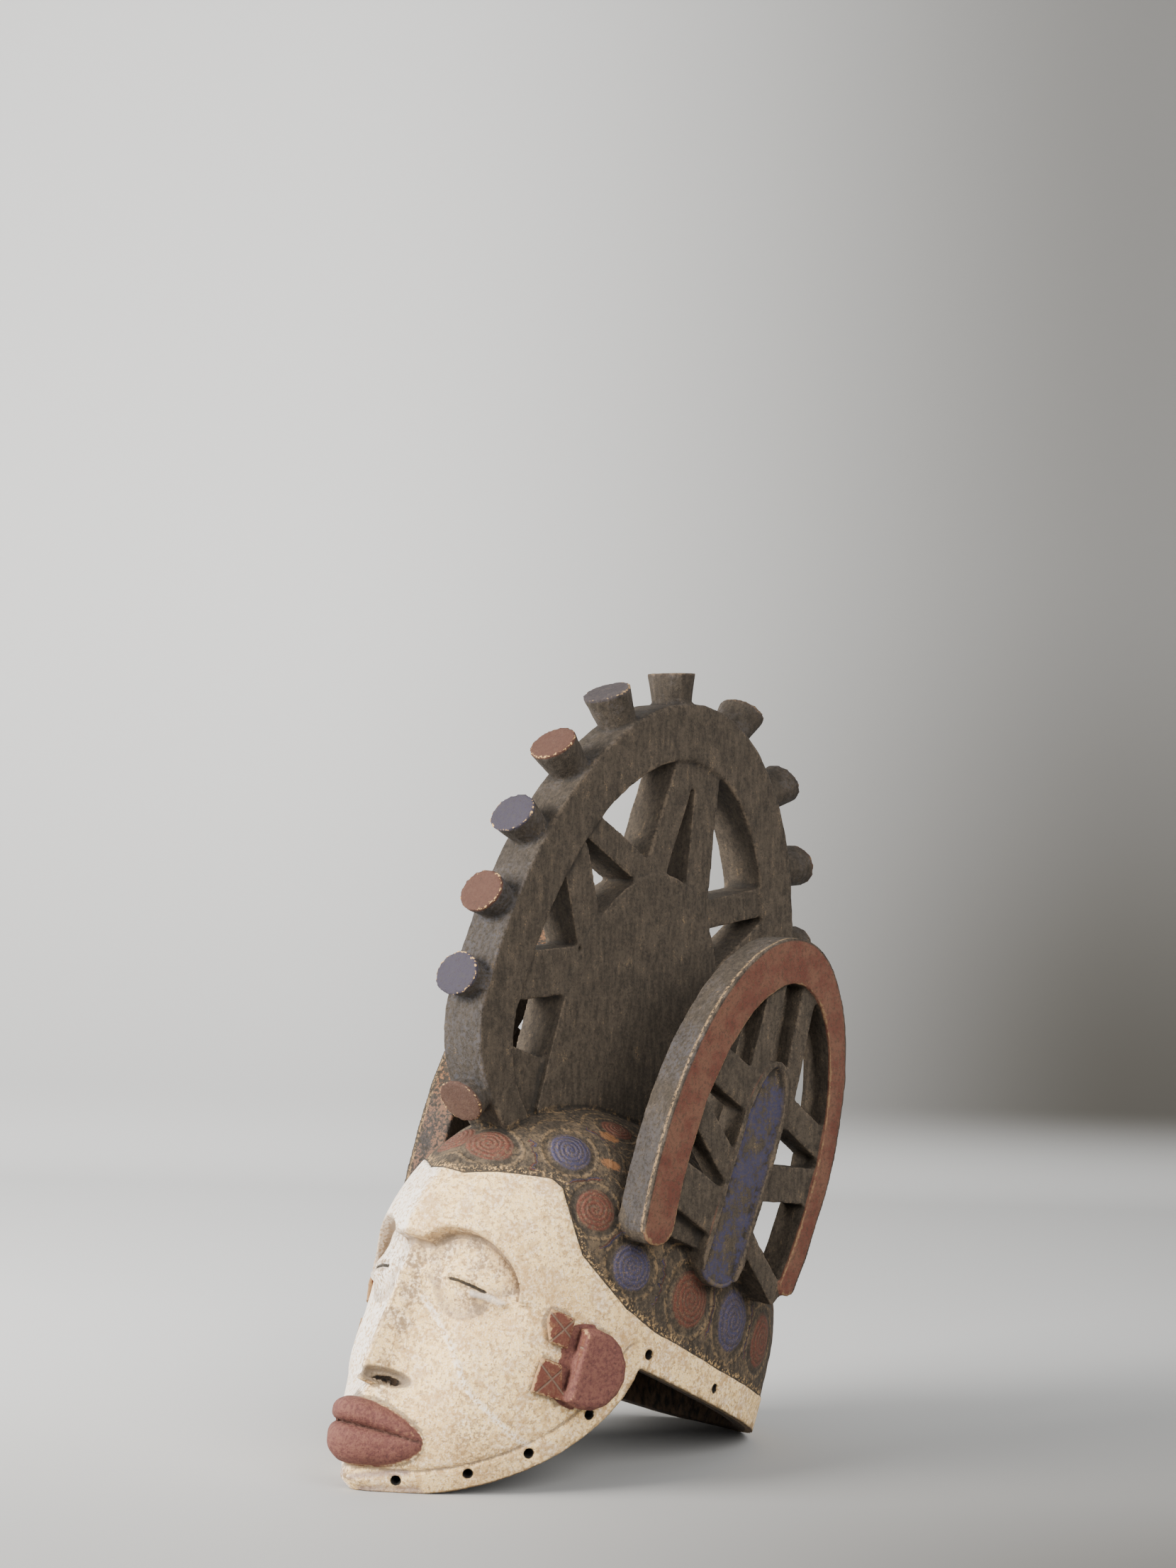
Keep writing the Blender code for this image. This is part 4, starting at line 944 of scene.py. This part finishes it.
def paint_hair(paint, grain, colours, dark):
    """Spirals, loops and chalk specks of the hair. Returns the colour and its raised lines."""
    patch, speck, grit = grain.patch, grain.speck, grain.grit
    in_hair = paint.mark("white_side").step(-0.6, -1.8)
    over = paint.mark("over_head")
    in_hair = in_hair * over.step(3.4, 2.0) * over.step(-4.0, -3.0)
    dark = paint.mix(in_hair * (patch * 0.5 + speck * 0.5).step(0.48, 0.62) * 0.16, dark, colours["ochre"])
    u, v, red = paint.mark("coil_u"), paint.mark("coil_v"), paint.mark("coil_red")
    reach = (u * u + v * v) ** 0.5
    turn = v.angle_of(u) * (1.0 / (2.0 * math.pi))
    wave = ((reach * 4.3 - turn + (patch - 0.5) * 1.1 + (speck - 0.5) * 0.5) * (2.0 * math.pi)).sine()
    coil = (reach + (speck - 0.5) * 0.16).step(1.06, 0.90) * in_hair
    coil_paint = paint.mix(red.step(0.45, 0.55), colours["blue"], colours["red"])
    coil_paint = paint.mix(wave.step(-0.10, -0.95) * 0.5, coil_paint, colours["hair"])
    coil_paint = paint.mix(speck.step(0.48, 0.64) * 0.6, coil_paint, colours["hair_dust"])
    coil_paint = paint.mix(grit.step(0.54, 0.64) * 0.35, coil_paint, colours["ochre"])
    loops = in_hair * (((reach - 1.2) * 9.0).sine()).step(0.45, 0.95) * reach.step(1.02, 1.10)
    dark = paint.mix(loops * speck.step(0.40, 0.60) * 0.35, dark, colours["ochre"])
    orange = (paint.mark("orange") + (speck - 0.5) * 1.1).step(0.0, 0.35) * in_hair
    dark = paint.mix(orange * 0.75, dark, colours["orange"])
    dark = paint.mix(coil * (0.68 + 0.4 * patch), dark, coil_paint)
    chalk = paint.mark("white_side").step(-7.0, -1.0) * (speck * 0.6 + grit * 0.4).step(0.52, 0.57) * in_hair
    dark = paint.mix(chalk * 0.75, dark, colours["clay"])
    return dark, coil * wave * 0.30 + loops * 0.35


def paint_crests(paint, grain, colours, dark, on_rim):
    """Red faces, blotched edges and blue grooves of the crests."""
    patch, speck, grit, fine, wander = grain.patch, grain.speck, grain.grit, grain.fine, grain.wander
    face = paint.mark("crest_face")
    ring = paint.mark("crest_ring")
    red_face = (face + (speck - 0.5) * 0.8).step(-0.2, 0.5) * (ring + wander * 0.35).step(0.9, 2.4)
    red_face = red_face * paint.mark("tongue").step(0.6, -0.6)
    red_wood = paint.mix(patch.step(0.35, 0.65), colours["red"], colours["red_dust"])
    red_wood = paint.mix(speck.step(0.48, 0.64) * 0.55, red_wood, colours["hair"])
    red_wood = paint.mix((speck * 0.5 + grit * 0.5).step(0.56, 0.66) * 0.5, red_wood, colours["orange"])
    red_wood = paint.mix((-fine * 2.6 + (speck - 0.5) * 2.6).step(0.9, 1.6) * 0.6, red_wood, colours["ochre"])
    dark = paint.mix(red_face * 0.90, dark, red_wood)
    front_edge = on_rim * face.step(-0.5, -1.5) * paint.mark("arch_walk").step(60.0, 20.0)
    front_edge = front_edge * paint.mark("over_head").step(5.0, 7.0)
    side_only = abs(paint.mark("side")).step(74.0, 80.0)
    blotch = (speck * 0.6 + patch * 0.4).step(0.49, 0.56) * side_only * front_edge
    dark = paint.mix(blotch * paint.mark("side").step(0.0, -1.0) * 0.65, dark, colours["orange"])
    low_edge = front_edge * side_only * paint.mark("height").step(285.0, 255.0)
    dark = paint.mix(low_edge * speck.step(0.36, 0.56) * 0.35, dark, colours["slate"])
    arris = side_only * (face + wander * 0.3).step(-2.2, -0.8) * (face + wander * 0.3).step(0.8, 0.0)
    dark = paint.mix(arris * on_rim * speck.step(0.42, 0.56) * 0.7, dark, colours["ochre"])

    tongue = paint.mark("tongue")
    blue_groove = (tongue + wander * 0.3).step(3.8, 5.4) * (patch * 0.7 + speck * 0.3).step(0.56, 0.44)
    groove_paint = paint.mix(speck.step(0.46, 0.62) * 0.6, colours["blue"], colours["hair_dust"])
    dark = paint.mix(blue_groove * 0.75, dark, groove_paint)
    return dark


def paint_knobs(paint, grain, colours, dark):
    """Red and blue tops of the knobs."""
    patch, speck, grit, fine = grain.patch, grain.speck, grain.grit, grain.fine
    top = paint.mark("knob_up").step(-0.4, 0.5)
    knob_red, knob_blue = paint.mark("knob_red"), paint.mark("knob_blue")
    disc_red = paint.mix(speck.step(0.42, 0.66) * 0.6, colours["red"], colours["red_dust"])
    disc_red = paint.mix((speck * 0.5 + grit * 0.5).step(0.46, 0.36) * 0.6, disc_red, colours["hair"])
    disc_red = paint.mix(0.5, disc_red, colours["hair"])
    disc_blue = paint.mix(speck.step(0.44, 0.66) * 0.6, colours["blue"], colours["slate"])
    disc_blue = paint.mix(0.5, disc_blue, colours["hair"])
    disc_blue = paint.mix((speck * 0.5 + grit * 0.5).step(0.47, 0.37) * 0.7, disc_blue, colours["hair"])
    chips = (-fine * 2.2 + (speck - 0.5) * 3.4 + (patch - 0.5)).step(1.3, 1.7)
    dark = paint.mix(top * knob_red * 0.9, dark, disc_red)
    dark = paint.mix(top * knob_blue * 0.9, dark, disc_blue)
    dark = paint.mix(top * chips * (knob_red + knob_blue) * 0.8, dark, colours["clay"])
    return dark


def paint_reds(paint, grain, colours, surface):
    """Lips, ears and scars. Returns the colour and the cuts across the scars."""
    patch, speck, grit, fine = grain.patch, grain.speck, grain.grit, grain.fine
    lips = (paint.mark("lips") + (speck - 0.5) * 1.0).step(-0.3, 0.5)
    lip_paint = paint.mix(speck.step(0.36, 0.64) * 0.7, colours["mauve"], colours["mauve_dust"])
    lip_paint = paint.mix((speck * 0.5 + grit * 0.5).step(0.46, 0.36) * 0.45, lip_paint, colours["hair"])
    lip_chips = (-fine * 2.2 + (speck - 0.5) * 2.6).step(1.0, 1.7)
    lip_paint = paint.mix(lip_chips * 0.6, lip_paint, colours["clay"])
    # Painted shade along the crease between the lips.
    mouth = abs(paint.mark("mouth_line")).step(1.5, 0.3)
    lip_paint = paint.mix(mouth * 0.45, lip_paint, colours["hair"])
    surface = paint.mix(lips, surface, lip_paint)

    ear = (paint.mark("ear") + (speck - 0.5) * 0.8).step(-0.3, 0.4)
    surface = paint.mix(ear, surface, lip_paint)
    scar = (paint.mark("scar") + (speck - 0.5) * 0.8).step(-0.3, 0.4)
    scar_paint = paint.mix(speck.step(0.45, 0.66), colours["red"], colours["red_dust"])
    scar_paint = paint.mix((patch + (speck - 0.5)).step(0.58, 0.80) * 0.5, scar_paint, colours["orange"])
    scar_chips = (-fine * 2.6 + (speck - 0.5) * 2.6).step(1.0, 1.5)
    scar_paint = paint.mix(scar_chips * 0.25, scar_paint, colours["cream"])
    scar_u, scar_v = paint.mark("scar_u"), paint.mark("scar_v")
    cuts = (abs(scar_u * 0.85 - scar_v * 0.55)).least(abs(scar_u * 0.55 + scar_v * 0.75))
    cut = cuts.step(0.9, 0.25) * scar
    # Painted shade in the cut lines across the scars.
    scar_paint = paint.mix(cut * 0.6, scar_paint, colours["grime"])
    surface = paint.mix(scar, surface, scar_paint)
    return surface, cut


def paint_bare(paint, grain, colours, surface, on_white):
    """Bare wood inside and under the rim, brown lower edge, painted shade in the lacing holes."""
    speck, grit, streak, wander = grain.speck, grain.grit, grain.streak, grain.wander
    inside = (paint.mark("over_head") * -1.0 + (speck - 0.5) * 1.2).step(5.2, 6.4)
    jaw = paint.mark("jaw")
    rim_cut = paint.mark("down").step(0.35, 0.75) * (jaw + (speck - 0.5) * 1.5).step(2.4, 1.2)
    bare_wood = paint.mix(streak.step(0.35, 0.65), colours["soot"], colours["wood"])
    brown = (jaw + wander * 0.2).step(1.7, 0.5) * on_white * speck.step(0.62, 0.44)
    surface = paint.mix(brown * 0.7, surface, colours["grime"])
    surface = paint.mix(rim_cut * 0.75, surface, bare_wood)
    surface = paint.mix(inside, surface, bare_wood)
    # Painted shade in the lacing holes.
    surface = paint.mix(paint.mark("hole").step(3.9, 3.1), surface, colours["soot"])
    surface = paint.mix(grit.step(0.45, 0.75) * 0.06, surface, colours["soot"])
    return surface


def paint_mask(colours):
    """Kaolin white face, dark hair and crests, red and blue accents, dust and wear, with painted light and
    shade.
    """
    paint = Paint("painted_wood")
    grain = Grain(paint)
    dark, on_rim = paint_rims(paint, grain, colours, paint_dark(paint, grain, colours))
    dark, raised = paint_hair(paint, grain, colours, dark)
    dark = paint_crests(paint, grain, colours, dark, on_rim)
    dark = paint_knobs(paint, grain, colours, dark)
    on_white = (paint.mark("white_side") + grain.wander * 0.55).step(-0.30, 0.30)
    surface = paint.mix(on_white, dark, paint_white(paint, grain, colours))
    surface, cut = paint_reds(paint, grain, colours, surface)
    surface = paint_bare(paint, grain, colours, surface, on_white)
    rises = (grain.speck - 0.5) * 0.60 + (grain.grit - 0.5) * 0.50
    rises = rises + (grain.streak - 0.5) * 0.20 * (1.0 - on_white) + raised - cut * 0.7
    bumped = paint.node("ShaderNodeBump", {}, {"Strength": 0.85, "Distance": MM, "Height": rises},
                        output="Normal")
    paint.feed(paint.shader.inputs["Base Color"], surface)
    paint.feed(paint.shader.inputs["Roughness"], 0.74 + 0.2 * grain.speck)
    paint.feed(paint.shader.inputs["Normal"], bumped)
    paint.feed(paint.shader.inputs["Specular IOR Level"], 0.28)
    return paint.material


def look(name, description, default):
    return FloatVectorProperty(name=name, description=description, subtype="COLOR", size=3, min=0.0,
                               max=1.0, default=default)


class MaskSizes(bpy.types.PropertyGroup):
    """How finely and how deeply the mask is carved."""

    grain: FloatProperty(name="Grain", description="Finest step of the carving", subtype="DISTANCE",
                         unit="LENGTH", default=0.0013, min=0.0009, max=0.004)
    triangles: IntProperty(name="Triangles", description="Most triangles of the carved piece",
                           default=192000, min=20000, max=198000)
    hair_sink: FloatProperty(name="Hair sink", description="How deep the hair lies behind the face's edge",
                             subtype="DISTANCE", unit="LENGTH", default=0.0011, min=0.0, max=0.003)
    coil_swell: FloatProperty(name="Coil swell", description="How far the spirals of the hair stand out",
                              subtype="DISTANCE", unit="LENGTH", default=0.0010, min=0.0, max=0.003)


class MaskColours(bpy.types.PropertyGroup):
    """Paints and bare wood."""

    # Cream and white are also painted light: cream for the shaded near side of the face, white for its lit
    # far side and for painted highlights.
    cream: look("Cream", "Kaolin paint, warm", (0.93, 0.650, 0.295))
    white: look("White", "Kaolin paint, clean", (0.92, 0.86, 0.79))
    clay: look("Clay", "Kaolin paint where it is thin", (0.66, 0.41, 0.165))
    tan: look("Tan", "Old ochre showing through the white", (0.50, 0.30, 0.115))
    # Stain also serves as painted shade under the brow.
    stain: look("Stain", "Specks on the white", (0.34, 0.24, 0.15))
    smudge: look("Smudge", "Purple grey in the chin's grooves", (0.26, 0.19, 0.20))
    # Grime also stands for painted shade: in hollows, under the nose, along the eye's slit and in the scars'
    # cuts.
    grime: look("Grime", "Dirt in the hollows", (0.16, 0.12, 0.085))
    ochre: look("Ochre", "Light wood where paint is gone", (0.30, 0.19, 0.09))
    edge: look("Edge", "Rubbed edges of the dark paint", (0.160, 0.116, 0.076))
    hair: look("Hair", "Dark paint of hair and crests", (0.034, 0.026, 0.018))
    hair_dust: look("Hair dust", "Dust on the dark paint", (0.086, 0.066, 0.046))
    # Soot also stands for painted shade: in the hollows, the eye's slit, the nostrils and the lacing holes.
    soot: look("Soot", "Darkest hollows", (0.012, 0.010, 0.008))
    wood: look("Wood", "Bare old wood inside", (0.080, 0.050, 0.029))
    slate: look("Slate", "Blue grey on the crests' edges", (0.056, 0.056, 0.066))
    red: look("Red", "Camwood red", (0.116, 0.037, 0.024))
    red_dust: look("Dusty red", "Worn camwood red", (0.148, 0.066, 0.040))
    mauve_dust: look("Dusty mauve", "Rubbed red of lips and ears", (0.192, 0.084, 0.058))
    mauve: look("Mauve red", "Red of lips, ears and knobs", (0.114, 0.040, 0.034))
    blue: look("Blue", "Washing blue", (0.046, 0.043, 0.086))
    orange: look("Orange", "Orange marks", (0.272, 0.120, 0.048))

    def all(self):
        return {key: tuple(getattr(self, key)) + (1.0,) for key in type(self).__annotations__}


class StudioLook(bpy.types.PropertyGroup):
    """Ground, lights and camera."""

    ground: look("Ground", "Colour of floor and backdrop", (0.70, 0.70, 0.69))
    key: FloatProperty(name="Key light", description="Power of the large light before the face",
                       subtype="POWER", unit="POWER", default=138.0, min=0.0)
    fill: FloatProperty(name="Fill light", description="Power of the light beside the camera",
                        subtype="POWER", unit="POWER", default=48.0, min=0.0)
    sky: FloatProperty(name="Room light", description="Strength of the even light all round",
                       default=0.90, min=0.0)
    lens: FloatProperty(name="Lens", description="Focal length on a picture 36 mm high",
                        subtype="DISTANCE_CAMERA", unit="CAMERA", default=64.0, min=20.0)


LAMP_AIM = (0.0, 0.0, 0.25)
KEY_PLACE, KEY_SIZE, KEY_COLOUR = (-0.70, -1.90, 1.00), 1.3, (1.0, 0.97, 0.93)
FILL_PLACE, FILL_SIZE, FILL_COLOUR = (1.9, -0.5, 1.2), 1.6, (1.0, 0.98, 0.96)
SKY_COLOUR = (0.95, 0.97, 1.0, 1.0)
CAMERA_PLACE = (1.34358, -1.30203, 0.40477)
CAMERA_BACK = (0.719322, -0.694349, -0.021314)
CAMERA_UP = (-0.005022, -0.035878, 0.999344)
BACKDROP_TURN = math.radians(46.0)
BACKDROP_FRONT, BACKDROP_BEND, BACKDROP_TOP = -2.6, 1.35, 2.6
BACKDROP_RADIUS = 0.55
BACKDROP_HALF_WIDTH = 4.0
BACKDROP_VIEW = 1.87
BACKDROP_SHADE = (0.044, 0.039, 0.030)


def backdrop_profile():
    """Side view of floor, sweep and wall."""
    line = [(BACKDROP_FRONT, 0.0), (BACKDROP_BEND, 0.0)]
    for step in range(1, 19):
        turn = math.radians(step * 5.0)
        line.append((BACKDROP_BEND + BACKDROP_RADIUS * math.sin(turn),
                     BACKDROP_RADIUS * (1.0 - math.cos(turn))))
    line.append((BACKDROP_BEND + BACKDROP_RADIUS, BACKDROP_TOP))
    return line


def make_backdrop(colour):
    profile = backdrop_profile()
    vertices, faces = [], []
    for away, height in profile:
        for aside in (-BACKDROP_HALF_WIDTH, BACKDROP_HALF_WIDTH):
            vertices.append((aside, away, height))
    for index in range(len(profile) - 1):
        first = 2 * index
        faces.append((first, first + 1, first + 3, first + 2))
    mesh = bpy.data.meshes.new("backdrop")
    mesh.from_pydata(vertices, [], faces)
    mesh.shade_smooth()
    backdrop = bpy.data.objects.new("backdrop", mesh)
    backdrop.rotation_euler = (0.0, 0.0, BACKDROP_TURN)
    bpy.context.scene.collection.objects.link(backdrop)
    paint = Paint("backdrop_paper")
    spot = paint.node("ShaderNodeTexCoord", output="Object")
    apart = paint.node("ShaderNodeSeparateXYZ", values={0: spot})
    across, away, up = (Socket(paint, output) for output in apart.output.node.outputs)
    aside = across / (away + BACKDROP_VIEW)
    shade_wall = aside.step(-0.12, 0.20) * 0.75 + up.step(0.85, 0.05) * 0.20
    shade_floor = aside.step(-0.16, 0.26) * 0.34 + away.step(0.6, -0.5) * 0.58
    on_wall = up.step(0.004, 0.09)
    cloud = paint.noise(spot, 0.9, 2.0)
    shade = shade_wall * on_wall + shade_floor * (1.0 - on_wall) + (cloud - 0.5) * 0.05
    tint = paint.mix(shade, tuple(colour) + (1.0,), BACKDROP_SHADE + (1.0,))
    paint.feed(paint.shader.inputs["Base Color"], tint)
    paint.feed(paint.shader.inputs["Roughness"], 0.9)
    paint.feed(paint.shader.inputs["Specular IOR Level"], 0.1)
    mesh.materials.append(paint.material)
    return backdrop


def make_lamp(name, place, aim, size, power, colour):
    data = bpy.data.lights.new(name, "AREA")
    data.shape = "DISK"
    data.size = size
    data.energy = power
    data.color = colour
    lamp = bpy.data.objects.new(name, data)
    lamp.location = place
    lamp.rotation_euler = (Vector(aim) - Vector(place)).to_track_quat("-Z", "Y").to_euler()
    bpy.context.scene.collection.objects.link(lamp)
    return lamp


def make_camera(lens):
    data = bpy.data.cameras.new("camera")
    data.sensor_fit = "VERTICAL"
    data.sensor_height = 36.0
    data.lens = lens
    camera = bpy.data.objects.new("camera", data)
    back = Vector(CAMERA_BACK).normalized()
    right = Vector(CAMERA_UP).cross(back).normalized()
    up = back.cross(right)
    camera.matrix_world = Matrix.Translation(CAMERA_PLACE) @ Matrix((right, up, back)).transposed().to_4x4()
    bpy.context.scene.collection.objects.link(camera)
    bpy.context.scene.camera = camera
    return camera


class MASK_OT_carve(bpy.types.Operator):
    """Carve and paint the mask"""

    bl_idname = "mask.carve"
    bl_label = "Carve mask"

    def execute(self, context):
        scene = context.scene
        piece = carve_mask(scene.mask_sizes)
        piece.data.materials.append(paint_mask(scene.mask_colours.all()))
        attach(piece, "root")
        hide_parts("helmet_mask")
        return {"FINISHED"}


class MASK_OT_studio(bpy.types.Operator):
    """Set ground, lights and camera"""

    bl_idname = "mask.studio"
    bl_label = "Set studio"

    def execute(self, context):
        studio = context.scene.mask_studio
        make_backdrop(studio.ground)
        make_lamp("key_light", KEY_PLACE, LAMP_AIM, KEY_SIZE, studio.key, KEY_COLOUR)
        make_lamp("fill_light", FILL_PLACE, LAMP_AIM, FILL_SIZE, studio.fill, FILL_COLOUR)
        world = bpy.data.worlds.new("room")
        world.use_nodes = True
        background = world.node_tree.nodes["Background"]
        background.inputs["Color"].default_value = SKY_COLOUR
        background.inputs["Strength"].default_value = studio.sky
        context.scene.world = world
        make_camera(studio.lens)
        return {"FINISHED"}


class MASK_PT_panel(bpy.types.Panel):
    """Sizes, colours and steps of the mask"""

    bl_label = "Carved Mask"
    bl_idname = "MASK_PT_panel"
    bl_space_type = "VIEW_3D"
    bl_region_type = "UI"
    bl_category = "Mask"

    def draw(self, context):
        layout = self.layout
        for group in (context.scene.mask_sizes, context.scene.mask_colours, context.scene.mask_studio):
            box = layout.box()
            for key in type(group).__annotations__:
                box.prop(group, key)
        layout.operator(MASK_OT_carve.bl_idname)
        layout.operator(MASK_OT_studio.bl_idname)


CLASSES = (MaskSizes, MaskColours, StudioLook, MASK_OT_carve, MASK_OT_studio, MASK_PT_panel)


def register():
    for item in CLASSES:
        bpy.utils.register_class(item)
    bpy.types.Scene.mask_sizes = PointerProperty(type=MaskSizes)
    bpy.types.Scene.mask_colours = PointerProperty(type=MaskColours)
    bpy.types.Scene.mask_studio = PointerProperty(type=StudioLook)


def unregister():
    del bpy.types.Scene.mask_studio
    del bpy.types.Scene.mask_colours
    del bpy.types.Scene.mask_sizes
    for item in reversed(CLASSES):
        bpy.utils.unregister_class(item)


def main():
    register()
    bpy.ops.mask.carve()
    bpy.ops.mask.studio()


if __name__ == "__main__":
    main()
